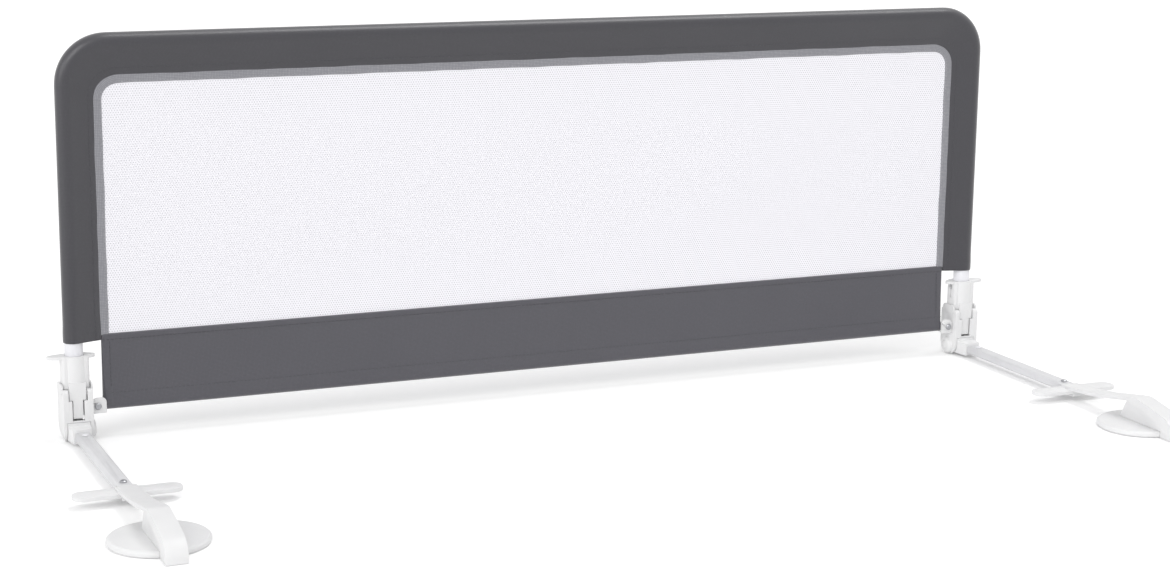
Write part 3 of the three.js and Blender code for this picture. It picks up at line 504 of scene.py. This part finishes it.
def pick(piece: Piece) -> None:
    """Selects one object alone and makes it active.

    Args:
        piece: The object to select.
    """
    bpy.ops.object.select_all(action="DESELECT")
    piece.select_set(True)
    bpy.context.view_layer.objects.active = piece


def smooth(piece: Piece, degrees: float) -> None:
    """Shades a piece smooth except across edges sharper than the angle."""
    pick(piece)
    bpy.ops.object.shade_smooth_by_angle(angle=math.radians(degrees))


def finish_piece(piece: Piece, material: Finish, body: str) -> None:
    """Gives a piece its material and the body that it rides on.

    Args:
        piece: The finished mesh.
        material: Its finish.
        body: The CAD body.
    """
    piece.data.materials.clear()
    piece.data.materials.append(material)
    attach(piece, body)
    log.info("%s: %d faces on %s", piece.name, len(piece.data.polygons), body)


def grid_faces(rows: int, columns: int, closed: bool) -> list[tuple[int, int, int, int]]:
    """Quads of a grid of points whose rows follow each other.

    Args:
        rows: The number of rows.
        columns: Points in a row.
        closed: Whether each row closes on itself.

    Returns:
        Corner numbers of the quads.
    """
    faces = []
    for r in range(rows - 1):
        here, above = r * columns, (r + 1) * columns
        for c in range(columns if closed else columns - 1):
            d = (c + 1) % columns
            faces.append((here + c, here + d, above + d, above + c))
    return faces


def set_uv(piece: Piece, values: Sequence[tuple[float, float]]) -> None:
    """Gives a piece its Cloth UV map, a pair in millimetres for each corner of each face."""
    layer = piece.data.uv_layers.new(name="Cloth")
    layer.data.foreach_set("uv", np.asarray(values, np.float32).reshape(-1))


def solidify(piece: Piece, thickness_mm: float, offset: float) -> None:
    """Gives a skin its thickness.

    Args:
        piece: The skin.
        thickness_mm: Its thickness in millimetres.
        offset: -1 for a thickness that goes inwards and 0 for both ways.
    """
    pick(piece)
    solid = piece.modifiers.new("Thickness", "SOLIDIFY")
    solid.thickness = thickness_mm * MM
    solid.offset = offset
    bpy.ops.object.modifier_apply(modifier=solid.name)


# ---- Fabric ----


@dataclass(frozen=True)
class Arch:
    """A line up one side, round two bends and down the other, as an even row of places.

    Sizes are in millimetres; `bottom` is the height of both ends.
    """

    side: float
    top: float
    radius: float
    bottom: float
    upright_steps: int = 44
    bend_steps: int = 14
    top_steps: int = 156

    def line(self) -> tuple[np.ndarray, np.ndarray]:
        """Places along the arch and the outward direction at each.

        Returns:
            Points of X and Z, and unit vectors of X and Z.
        """
        middle, spring = self.side - self.radius, self.top - self.radius
        rise = (spring - self.bottom) / self.upright_steps
        places = [
            (-self.side, self.bottom + rise * i, -1.0, 0.0) for i in range(self.upright_steps)
        ]
        places += self._bend(-middle, spring, math.pi)
        step = 2 * middle / self.top_steps
        places += [(-middle + step * i, self.top, 0.0, 1.0) for i in range(self.top_steps)]
        places += self._bend(middle, spring, math.pi / 2)
        places += [
            (self.side, spring - rise * i, 1.0, 0.0) for i in range(self.upright_steps + 1)
        ]
        table = np.array(places)
        return table[:, :2], table[:, 2:]

    def _bend(self, x: float, z: float, start: float) -> list[tuple[float, float, float, float]]:
        """A quarter turn about a centre.

        Args:
            x: The centre's X.
            z: The centre's Z.
            start: The angle at which the turn starts, clockwise from there.

        Returns:
            X, Z and the outward X and Z at each place.
        """
        bend = []
        for i in range(self.bend_steps):
            angle = start - math.pi / 2 * i / self.bend_steps
            way = (math.cos(angle), math.sin(angle))
            bend.append((x + self.radius * way[0], z + self.radius * way[1], *way))
        return bend


def along_line(points: np.ndarray) -> np.ndarray:
    """The length along a line of points up to each of them."""
    steps = np.linalg.norm(np.diff(points, axis=0), axis=1)
    return np.concatenate([[0.0], np.cumsum(steps)])


def round_lengths(section: Section) -> np.ndarray:
    """The length round a closed section up to each point, and back at the first."""
    return along_line(np.array([*section, section[0]]))


def waves(places: np.ndarray, seed: int, lengths: Sequence[float]) -> np.ndarray:
    """A seeded sum of sine waves, from about -1 to 1.

    Args:
        places: Lengths along the cloth, in millimetres.
        seed: Seed of the phases.
        lengths: Wave lengths in millimetres.

    Returns:
        One value for each place.
    """
    draw = np.random.default_rng(seed)
    full = 2 * math.pi
    total = np.zeros_like(places, dtype=float)
    for length in lengths:
        drawn = length * draw.uniform(1 - WAVE_SPREAD, 1 + WAVE_SPREAD)
        total += np.sin(full * places / drawn + draw.uniform(0, full))
    return total / len(lengths)


def cloth_skin(name: str, rows: Sequence[Section], lengths: np.ndarray, cloth_mm: float) -> Piece:
    """Makes a closed skin from sections that follow each other, laid out flat on its UV map.

    Args:
        name: The piece's name.
        rows: The sections, each with the same number of points, in millimetres.
        lengths: The length along the cloth up to each section.
        cloth_mm: The cloth's thickness, given inwards.

    Returns:
        The piece, rounded.
    """
    columns = len(rows[0])
    faces = grid_faces(len(rows), columns, True)
    piece = mesh_object(name, np.array(rows).reshape(-1, 3), faces)
    flats = [round_lengths(row) for row in rows]
    values = []
    for r in range(len(rows) - 1):
        low, high = lengths[r], lengths[r + 1]
        for c in range(columns):
            values += [(low, flats[r][c]), (low, flats[r][c + 1])]
            values += [(high, flats[r + 1][c + 1]), (high, flats[r + 1][c])]
    set_uv(piece, values)
    solidify(piece, cloth_mm, -1.0)
    rounding = piece.modifiers.new("Round", "SUBSURF")
    rounding.levels = rounding.render_levels = CLOTH_ROUNDS
    bpy.ops.object.modifier_apply(modifier=rounding.name)
    piece.data.polygons.foreach_set("use_smooth", [True] * len(piece.data.polygons))
    return piece


@dataclass(frozen=True)
class Stitching:
    """A row of lock stitches on the front, each a short strand that dips in at both ends."""

    name: str
    pitch: float = 4.2
    strand: float = 0.45
    lift: float = 0.1
    gap_share: float = 0.22
    core_share: float = 0.6
    dip_share: float = 0.7
    tip_share: float = 0.6
    sides: int = 6
    end_normal: float = 0.9
    glance: float = 0.5
    crease: float = 60.0
    out: Point = (0.0, -1.0, 0.0)

    def build(self, line: Section, material: Finish, slot: str) -> Piece:
        """Sets copies of one stitch along a line.

        Args:
            line: Points of the cloth that the row follows, in millimetres.
            material: The thread.
            slot: The record's material slot, not used.

        Returns:
            The row as one piece.
        """
        points, faces = self._stitch()
        up = np.array(self.out)
        path = np.array(line, float) + self.lift * up
        length = along_line(path)
        count = int(length[-1] / self.pitch)
        starts = (np.arange(count) + 0.5) * length[-1] / count
        behind, places, ahead = (
            np.stack([np.interp(starts + step, length, path[:, axis]) for axis in range(3)], axis=1)
            for step in (-self.glance, 0.0, self.glance)
        )
        along = (ahead - behind) / np.linalg.norm(ahead - behind, axis=1)[:, None]
        side = np.cross(up, along)
        copies = (
            places[:, None, :] + points[None, :, :1] * along[:, None, :]
            + points[None, :, 1:2] * side[:, None, :] + points[None, :, 2:] * up[None, None, :]
        )
        size = len(points)
        all_faces = [[corner + n * size for corner in face] for n in range(count) for face in faces]
        piece = mesh_object(self.name, copies.reshape(-1, 3), all_faces)
        smooth(piece, self.crease)
        finish_piece(piece, material, "panel")
        return piece

    def _stitch(self) -> tuple[np.ndarray, list[list[int]]]:
        """Models one stitch along X, its ends drawn down and in.

        Returns:
            Its points in millimetres and its faces.
        """
        half = self.pitch * (1 - self.gap_share) / 2 * MM
        strand = self.strand * MM
        bpy.ops.object.select_all(action="DESELECT")
        bpy.ops.mesh.primitive_cylinder_add(
            vertices=self.sides, radius=strand / 2, depth=2 * self.core_share * half,
            rotation=(0.0, math.pi / 2, 0.0),
        )
        stitch = bpy.context.active_object
        bpy.ops.object.transform_apply(location=False, rotation=True, scale=False)
        bpy.ops.object.mode_set(mode="EDIT")
        for way in (-1, 1):
            bpy.ops.mesh.select_mode(type="FACE")
            bpy.ops.mesh.select_all(action="DESELECT")
            bpy.ops.object.mode_set(mode="OBJECT")
            for face in stitch.data.polygons:
                face.select = face.normal.x * way > self.end_normal
            bpy.ops.object.mode_set(mode="EDIT")
            reach = way * (1 - self.core_share) * half
            bpy.ops.mesh.extrude_region_move(
                TRANSFORM_OT_translate={"value": (reach, 0.0, -self.dip_share * strand)}
            )
            bpy.ops.transform.resize(value=(1.0, self.tip_share, self.tip_share))
        bpy.ops.object.mode_set(mode="OBJECT")
        points = np.array([tuple(v.co) for v in stitch.data.vertices]) / MM
        faces = [list(face.vertices) for face in stitch.data.polygons]
        bpy.data.objects.remove(stitch, do_unlink=True)
        return points, faces


@dataclass(frozen=True)
class BorderCover:
    """The dark cover that is drawn tight over the frame tube and tapers to the window's edge."""

    frame_line: Arch = Arch(HINGE_X, TOP_Z, CORNER_RADIUS, 98.0)
    window_line: Arch = Arch(483.5, 359.0, 24.0, 98.0)
    tube_reach: float = 9.9
    edge_half: float = 1.3
    cloth: float = 0.6
    end_hem: float = 12.0
    edge_hem: float = 6.5
    hem_proud: float = 0.35
    hem_slope: float = 1.2
    tightest: float = 0.95
    pulled: float = 0.3
    crimped: float = 0.3
    swell_share: float = 0.6
    hollow: float = 0.25
    edge_sway: float = 0.6
    lip_reach: float = 0.9
    lip_share: float = 0.4
    crimp_share: float = 0.29
    seed: int = 11
    pull_waves: tuple[float, ...] = (61.0, 97.0, 150.0)
    edge_waves: tuple[float, ...] = (44.0, 83.0, 131.0)
    crimp_waves: tuple[float, ...] = (9.5, 13.0)
    round_points: int = 12
    flat_points: int = 9
    seam_back: int = 2

    def build(self, palette: Palette) -> list[Piece]:
        """Makes the cover, a closed skin round the tube with open lower ends, and its stitches.

        Args:
            palette: The finishes.

        Returns:
            The pieces.
        """
        outer, outward = self.frame_line.line()
        inner, _ = self.window_line.line()
        length = along_line(outer)
        pull = self.pulled * waves(length, self.seed, self.pull_waves)
        edge = self.edge_sway * waves(length, self.seed + 1, self.edge_waves)
        crimp = self.crimped * waves(length, self.seed + 2, self.crimp_waves)
        rows = []
        for i, (centre, way, rim) in enumerate(zip(outer, outward, inner)):
            end = min(length[i], length[-1] - length[i])
            proud = self.hem_proud if end < self.end_hem else 0.0
            swell = pull[i] + crimp[i] * self._bend_share(centre)
            rows.append(self._section(centre, way, rim, proud, swell, edge[i]))
        piece = cloth_skin("border_cover", rows, length, self.cloth)
        finish_piece(piece, palette.cloth, "panel")
        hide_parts("border_sleeve")
        seam = self.round_points + self.flat_points - self.seam_back
        stitches = Stitching("cover_edge_stitches")
        return [piece, stitches.build([row[seam] for row in rows], palette.thread, "grey_fabric")]

    def _bend_share(self, centre: np.ndarray) -> float:
        """How far a place is in one of the bends.

        Args:
            centre: A point of the frame's line.

        Returns:
            0 outside the bend, rising to 1 at its middle.
        """
        line = self.frame_line
        over = min(abs(centre[0]) - line.side, centre[1] - line.top) + line.radius
        return float(np.clip(over / (line.radius * self.crimp_share), 0.0, 1.0))

    def _section(
        self, centre: np.ndarray, way: np.ndarray, rim: np.ndarray,
        proud: float, swell: float, edge: float,
    ) -> list[Point]:
        """One section of the cover: round over the tube, then straight to the window's edge.

        Args:
            centre: The tube's middle in X and Z.
            way: The arch's outward direction there.
            rim: The window's edge in X and Z.
            proud: How far a hem at the cover's ends stands out.
            swell: How far the flat part stands proud.
            edge: How far the window's edge waves.

        Returns:
            Points all round, in millimetres.
        """
        radius = self.tube_reach + proud
        reach = float(np.linalg.norm(rim - centre))
        tangent = math.acos(min(self.tightest, (radius - self.edge_half) / reach))
        front = []
        for k in range(self.round_points + 1):
            angle = math.pi - (math.pi - tangent) * k / self.round_points
            x, z = centre - radius * math.cos(angle) * way
            front.append((x, -radius * math.sin(angle), z))
        start = np.array(front[-1])
        goal = rim + edge * (rim - centre) / reach
        for k in range(1, self.flat_points + 1):
            share = k / self.flat_points
            x, z = start[::2] + (goal - start[::2]) * share
            puff = math.sin(math.pi * share) * (self.swell_share * swell - self.hollow)
            near = math.dist(goal, (x, z))
            hem = self.hem_proud * float(np.clip((self.edge_hem - near) / self.hem_slope, 0.0, 1.0))
            front.append((x, start[1] + (-self.edge_half - start[1]) * share - puff - hem, z))
        x, z = goal + self.lip_reach * (rim - centre) / reach
        front.append((x, -self.lip_share * self.edge_half, z))
        back = [(x, -y, z) for x, y, z in reversed(front[1:])]
        return [(x, HINGE_Y + y, z) for x, y, z in front + back]


@dataclass(frozen=True)
class NetBinding:
    """The light tape that is folded over the net's edge along the top and both sides."""

    outer_line: Arch = Arch(484.7, 360.2, 25.2, 102.5)
    inner_line: Arch = Arch(475.1, 350.6, 15.6, 102.5)
    half_thickness: float = 1.5
    cloth: float = 0.4
    wobble: float = 0.45
    puff: float = 0.22
    seed: int = 21
    wobble_waves: tuple[float, ...] = (37.0, 59.0, 110.0)
    puff_waves: tuple[float, ...] = (19.0, 31.0, 47.0)
    stitch_point: int = 6
    shares: tuple[float, ...] = (0.0, 0.06, 0.16, 0.3, 0.5, 0.7, 0.84, 0.94, 1.0)
    heights: tuple[float, ...] = (0.35, 0.75, 0.86, 1.0, 1.0, 1.0, 0.86, 0.75, 0.35)

    def build(self, palette: Palette) -> list[Piece]:
        """Makes the tape as a closed flat loop swept along the window's edge, and its stitches.

        Args:
            palette: The finishes.

        Returns:
            The pieces.
        """
        outer, _ = self.outer_line.line()
        inner, _ = self.inner_line.line()
        length = along_line(outer)
        wobble = self.wobble * waves(length, self.seed, self.wobble_waves)
        puff = self.puff * waves(length, self.seed + 1, self.puff_waves)
        rows = []
        for i, (start, rim) in enumerate(zip(outer, inner)):
            reach = float(np.linalg.norm(rim - start))
            way = (rim - start) / reach
            rows.append([
                (start[0] + d * way[0], HINGE_Y + y, start[1] + d * way[1])
                for d, y in self._profile(reach + wobble[i], puff[i])
            ])
        piece = cloth_skin("net_binding", rows, length, self.cloth)
        finish_piece(piece, palette.tape, "panel")
        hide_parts("mesh_binding")
        stitches = Stitching("binding_stitches", pitch=3.4, strand=0.4, lift=0.05)
        line = [row[self.stitch_point] for row in rows]
        return [piece, stitches.build(line, palette.pale_thread, "grey_binding")]

    def _profile(self, reach: float, puff: float) -> list[tuple[float, float]]:
        """One section of the tape, a soft flat loop.

        Args:
            reach: The tape's width.
            puff: How far the middle swells.

        Returns:
            Points of distance and of Y, all round.
        """
        front = [
            (reach * share, -(self.half_thickness * height + puff * math.sin(math.pi * share)))
            for share, height in zip(self.shares, self.heights)
        ]
        return front + [(d, -y) for d, y in reversed(front)]


@dataclass(frozen=True)
class NetWindow:
    """The white net, drawn flat between the tape and the skirt."""

    side: float = 477.5
    top: float = 353.0
    bottom: float = 101.0
    corner: float = 14.0
    thickness: float = 0.8
    cell: float = 8.0
    sag: float = 0.6
    long_wave: float = 71.0
    high_wave: float = 43.0
    askew_wave: float = 38.0
    askew_rise: float = 1.7
    askew_share: float = 0.5
    phases: tuple[float, float] = (0.6, 1.3)
    crease: float = 35.0

    def build(self, palette: Palette) -> list[Piece]:
        """Makes the net as a thin closed sheet with a slight wave.

        Args:
            palette: The finishes.

        Returns:
            The piece, alone in a list.
        """
        columns = round(2 * self.side / self.cell)
        rows = round((self.top - self.bottom) / self.cell)
        points = []
        values = []
        for x in np.linspace(-self.side, self.side, columns + 1):
            high = self._height(x)
            for k in range(rows + 1):
                z = self.bottom + (high - self.bottom) * k / rows
                inside = math.sin(math.pi * k / rows) * math.cos(math.pi * x / (2 * self.side))
                points.append((x, HINGE_Y + self.sag * self._wave(x, z) * inside, z))
                values.append((x, z))
        faces = grid_faces(columns + 1, rows + 1, False)
        piece = mesh_object("net_window", np.array(points), faces)
        set_uv(piece, [values[corner] for face in faces for corner in face])
        solidify(piece, self.thickness, 0.0)
        smooth(piece, self.crease)
        finish_piece(piece, palette.net, "panel")
        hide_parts("mesh_panel")
        return [piece]

    def _wave(self, x: float, z: float) -> float:
        """The net's slack at a place: two slow waves that cross and one that runs askew.

        Args:
            x: Place along the net in millimetres.
            z: Its height.

        Returns:
            A share of the sag, with its sign.
        """
        along = math.sin(x / self.long_wave + self.phases[0])
        upward = math.sin(z / self.high_wave + self.phases[1])
        askew = math.sin((x + self.askew_rise * z) / self.askew_wave)
        return along * upward + self.askew_share * askew

    def _height(self, x: float) -> float:
        """The height of the net's upper edge over X, round at the corners."""
        over = max(abs(x) - (self.side - self.corner), 0.0)
        return self.top - self.corner + math.sqrt(max(self.corner ** 2 - over ** 2, 0.0))


@dataclass(frozen=True)
class SkirtPanel:
    """The plain dark cloth under the window, doubled, with the cross tube in its hem.

    `fold` is the seam at its top, as Y and the height over `seam_top`, and `ends` are distances
    of the first sections from either end, close together in the folds there.
    """

    side: float = 483.2
    seam_top: float = 104.0
    tube_height: float = 33.4
    tube_reach: float = 5.8
    cloth: float = 0.6
    step: float = 8.0
    fold: tuple[tuple[float, float], ...] = (
        (0.0, 0.4), (-1.9, -0.2), (-2.3, -1.6), (-2.3, -5.8), (-1.7, -7.0)
    )
    ends: tuple[float, ...] = (0.0, 0.5, 1.3, 2.6, 5.0, 8.0, 9.0, 10.0)
    fold_proud: float = 0.45
    fold_width: float = 9.0
    lean_power: float = 1.6
    belly: float = 0.55
    ripple: float = 0.18
    seed: int = 31
    belly_waves: tuple[float, ...] = (95.0, 140.0, 230.0)
    ripple_waves: tuple[float, ...] = (33.0, 52.0, 71.0)
    calm_end: float = 30.0
    pinch_share: float = 0.85
    pinch_end: float = 2.6
    layer_steps: int = 11
    hem_steps: int = 12
    seam_point: int = 3
    edge_point: int = 4
    hem_point: int = 13
    edge_row: int = 5

    def build(self, palette: Palette) -> list[Piece]:
        """Makes both layers and the hem as one closed skin, and its rows of stitches.

        Args:
            palette: The finishes.

        Returns:
            The pieces.
        """
        xs = self._places()
        slow = self.belly * waves(xs, self.seed, self.belly_waves)
        fine = self.ripple * waves(xs, self.seed + 1, self.ripple_waves)
        rows = [
            [(x, HINGE_Y + y, z) for y, z in self._profile(belly, self.side - abs(x))]
            for x, belly in zip(xs, slow + fine)
        ]
        piece = cloth_skin("skirt_panel", rows, xs, self.cloth)
        # The skirt's cloth is a copy of the border's cloth painted lighter, as painted light
        finish_piece(piece, palette.skirt_cloth, "panel")
        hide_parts("skirt")
        edge = slice(self.edge_point, self.hem_point)
        lines = {
            "seam": [row[self.seam_point] for row in rows[1:-1]],
            "hem": [row[self.hem_point] for row in rows[1:-1]],
            "left_edge": rows[self.edge_row][edge],
            "right_edge": rows[-1 - self.edge_row][edge],
        }
        return [piece] + [
            Stitching(f"skirt_{name}_stitches").build(line, palette.thread, "grey_fabric")
            for name, line in lines.items()
        ]

    def _places(self) -> np.ndarray:
        """Places along the skirt, close together in the folds at its two ends.

        Returns:
            X in millimetres, from left to right.
        """
        ends = np.array(self.ends)
        middle = self.side - self.ends[-1] - self.step / 2
        inner = np.linspace(-middle, middle, round(2 * middle / self.step) + 1)
        return np.concatenate([ends - self.side, inner, self.side - ends[::-1]])

    def _profile(self, belly: float, end: float) -> list[tuple[float, float]]:
        """One section of the skirt: a seam fold at the top, two layers, and the hem round the tube.

        Args:
            belly: How far the layer stands out here at half its height.
            end: How far this section is from the skirt's nearer end.

        Returns:
            Points of Y and Z, all round.
        """
        front = [(y, self.seam_top + z) for y, z in self.fold]
        start_y, start_z = front[-1]
        proud = self.fold_proud * float(np.clip(self.fold_width - end, 0.0, 1.0))
        for k in range(1, self.layer_steps):
            share = k / self.layer_steps
            lean = start_y - (self.tube_reach + start_y) * share ** self.lean_power
            swell = math.sin(math.pi * share) * belly * min(1.0, end / self.calm_end)
            front.append((lean + swell - proud, start_z - (start_z - self.tube_height) * share))
        pinch = 1 - self.pinch_share * max(0.0, 1 - end / self.pinch_end) ** 2
        front = [(y * pinch, z) for y, z in front]
        turns = [math.pi + math.pi * k / self.hem_steps for k in range(self.hem_steps + 1)]
        hem = [
            (self.tube_reach * math.cos(turn), self.tube_height + self.tube_reach * math.sin(turn))
            for turn in turns
        ]
        return front + hem + [(-y, z) for y, z in reversed(front[1:])]


@dataclass(frozen=True)
class FabricPanel:
    """All cloth of the rail."""

    parts: tuple[NetWindow | BorderCover | NetBinding | SkirtPanel, ...] = (
        NetWindow(), BorderCover(), NetBinding(), SkirtPanel(),
    )

    def build(self, palette: Palette) -> list[Piece]:
        """Makes the cloth pieces.

        Args:
            palette: The finishes.

        Returns:
            The pieces.
        """
        return [piece for part in self.parts for piece in part.build(palette)]


# ---- Moulded and drawn parts with their edges eased ----


@dataclass(frozen=True)
class EasedPart:
    """A hard part of both ends whose edges are eased, as a mould or a die leaves them."""

    node: str
    piece: str
    ease_mm: float
    segments: int = 3
    finish: str = "plastic"
    slot: str = "white_plastic"
    merge_mm: float = 0.002
    flat_angle: float = 1.0
    edge_angle: float = 32.0
    crease: float = 38.0

    def build(self, hand: Hand, palette: Palette) -> Piece:
        """Makes the part of one end from a merged copy of its CAD node.

        Args:
            hand: The end of the rail.
            palette: The finishes.

        Returns:
            The piece.
        """
        node = frame["nodes"][f"{hand.word}_{self.node}"]
        piece = bpy.data.objects.new(f"{hand.word}_{self.piece}", node.data.copy())
        bpy.context.scene.collection.objects.link(piece)
        pick(piece)
        bpy.ops.object.mode_set(mode="EDIT")
        bpy.ops.mesh.select_all(action="SELECT")
        bpy.ops.mesh.remove_doubles(threshold=self.merge_mm * MM)
        bpy.ops.mesh.dissolve_limited(angle_limit=math.radians(self.flat_angle))
        bpy.ops.object.mode_set(mode="OBJECT")
        ease = piece.modifiers.new("Ease", "BEVEL")
        ease.width = self.ease_mm * MM
        ease.segments = self.segments
        ease.limit_method = "ANGLE"
        ease.angle_limit = math.radians(self.edge_angle)
        ease.miter_outer = "MITER_ARC"
        bpy.ops.object.modifier_apply(modifier=ease.name)
        smooth(piece, self.crease)
        finish_piece(piece, getattr(palette, self.finish), body_of(node)[0])
        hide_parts(node.name)
        return piece


@dataclass(frozen=True)
class HardParts:
    """All moulded and drawn parts that show."""

    parts: tuple[EasedPart, ...] = (
        EasedPart("hinge_housing", "housing", 0.7),
        EasedPart("lock_slider", "finger_slider", 0.8),
        EasedPart("side_lug", "cross_tube_lug", 0.6),
        EasedPart("knuckle", "arm_knuckle", 0.8),
        EasedPart("foot", "arched_foot", 0.8),
        EasedPart("foot_pad", "round_pad", 0.6),
        EasedPart("pivot_cap", "boss_cap", 0.25, segments=2),
        # The arms take the white powder coat painted greyer, as painted shade
        EasedPart("arm_tube", "flat_arm", 0.25, segments=2, finish="arm_steel", slot="white_steel"),
    )

    def build(self, palette: Palette) -> list[Piece]:
        """Makes the parts of both ends.

        Args:
            palette: The finishes.

        Returns:
            The pieces.
        """
        return [part.build(hand, palette) for part in self.parts for hand in Hand]


# ---- CAD nodes that keep their shape ----


@dataclass(frozen=True)
class KeptNodes:
    """CAD nodes whose shape is right: the finish and names of those at both ends, and the rest."""

    paired: tuple[tuple[str, tuple[str, ...]], ...] = (
        ("zinc", ("housing_screw", "lug_screw", "pivot_pin", "clamp_screw", "pad_screw")),
        ("zinc", ("tube_joiner",)),
        ("plastic", ("lock_tongue", "spring_seat")),
        ("steel", ("frame_tube", "arm_rivet")),
        ("spring", ("lock_spring",)),
    )
    middle_steel: tuple[str, ...] = ("top_frame_tube", "lower_cross_tube")

    def dress(self, palette: Palette) -> None:
        """Assigns the finishes.

        Args:
            palette: The finishes.
        """
        for finish, names in self.paired:
            for hand in Hand:
                for name in names:
                    self._assign(f"{hand.word}_{name}", getattr(palette, finish))
        for name in self.middle_steel:
            self._assign(name, palette.steel)

    def _assign(self, name: str, material: Finish) -> None:
        """Puts one finish in all slots of a CAD node.

        Args:
            name: The node.
            material: Its finish.
        """
        for slot in frame["nodes"][name].material_slots:
            slot.material = material
        log.info("%s: keeps its shape, in %s", name, material.name)


# ---- Studio ----


@dataclass(frozen=True)
class SunLamp:
    """A wide sun lamp: its turn and the angle of its disc in degrees, and its strength."""

    name: str
    turn: Point
    strength: float
    spread: float

    def build(self) -> None:
        """Adds the lamp to the scene."""
        data = bpy.data.lights.new(self.name, "SUN")
        data.energy = self.strength
        data.angle = math.radians(self.spread)
        lamp = bpy.data.objects.new(self.name, data)
        lamp.rotation_euler = [math.radians(angle) for angle in self.turn]
        bpy.context.scene.collection.objects.link(lamp)


@dataclass(frozen=True)
class Studio:
    """Camera, floor, lamps and world, with lengths in metres and the lens in millimetres."""

    eye: Point = (-0.9356, -2.0080, 0.6253)
    yaw: float = 23.785
    pitch: float = 12.018
    roll: float = -0.685
    lens: float = 70.81
    sensor: float = 36.0
    reach: float = 60.0
    floor_drop: float = 0.0005
    floor_lift: float = 0.1
    world_strength: float = 0.64
    lamps: tuple[SunLamp, ...] = (
        SunLamp("key_sun", (52.0, 0.0, -38.0), 0.72, 30.0),
        SunLamp("top_sun", (-23.0, 0.0, -97.0), 0.85, 26.0),
        SunLamp("side_sun", (72.0, 0.0, -72.0), 0.55, 40.0),
    )

    def build(self) -> None:
        """Makes the studio."""
        self._camera()
        self._floor()
        self._world()
        for lamp in self.lamps:
            lamp.build()

    def _camera(self) -> None:
        """Makes the camera at the photograph's angle."""
        yaw, pitch, roll = (math.radians(angle) for angle in (self.yaw, self.pitch, self.roll))
        level = Vector((math.cos(yaw), -math.sin(yaw), 0.0))
        ahead = Vector((math.sin(yaw), math.cos(yaw), 0.0))
        forward = math.cos(pitch) * ahead - math.sin(pitch) * Vector((0.0, 0.0, 1.0))
        down = forward.cross(level)
        right = math.cos(roll) * level + math.sin(roll) * down
        below = -math.sin(roll) * level + math.cos(roll) * down
        data = bpy.data.cameras.new("rail_camera")
        data.lens = self.lens
        data.sensor_width = self.sensor
        data.sensor_fit = "HORIZONTAL"
        data.clip_end = self.reach
        camera = bpy.data.objects.new("rail_camera", data)
        bpy.context.scene.collection.objects.link(camera)
        axes = Matrix((right, -below, -forward)).transposed()
        camera.matrix_world = Matrix.Translation(self.eye) @ axes.to_4x4()
        bpy.context.scene.camera = camera

    def _floor(self) -> None:
        """Makes the pale floor, a little brighter to the camera alone."""
        bpy.ops.object.select_all(action="DESELECT")
        bpy.ops.mesh.primitive_plane_add(size=self.reach, location=(0.0, 0.0, -self.floor_drop))
        floor = bpy.context.active_object
        floor.name = "studio_floor"
        material, node = new_material("studio paper")
        lift = {0: node("LightPath").outputs["Is Camera Ray"], 1: self.floor_lift}
        floor.data.materials.append(close_material(material, {
            "Base Color": WHITE, "Roughness": 1.0, "Specular IOR Level": 0.0,
            "Emission Color": WHITE, "Emission Strength": node("Math", lift, operation="MULTIPLY"),
        }))

    def _world(self) -> None:
        """Makes a plain light sky that looks white to the camera, in gloss and through holes."""
        world = bpy.data.worlds.new("studio_world")
        world.use_nodes = True
        world.node_tree.nodes.clear()
        node = partial(add_node, world.node_tree)
        ray = node("LightPath").outputs
        seen = {0: ray["Is Camera Ray"], 1: ray["Is Glossy Ray"]}
        clear = {0: node("Math", seen, operation="MAXIMUM"), 1: ray["Is Transmission Ray"]}
        level = {"Value": node("Math", clear, operation="MAXIMUM"), "To Min": self.world_strength}
        light = node("Background", {"Color": WHITE, "Strength": node("MapRange", level)})
        node("OutputWorld", {"Surface": light})
        bpy.context.scene.world = world


def main() -> None:
    """Builds the studio and dresses the rail."""
    logging.basicConfig(level=logging.INFO, format="%(name)s: %(message)s")
    bpy.context.scene.view_settings.view_transform = "Standard"
    Studio().build()
    palette = Palette()
    KeptNodes().dress(palette)
    HardParts().build(palette)
    FabricPanel().build(palette)
    bpy.context.view_layer.update()


if __name__ == "__main__":
    main()
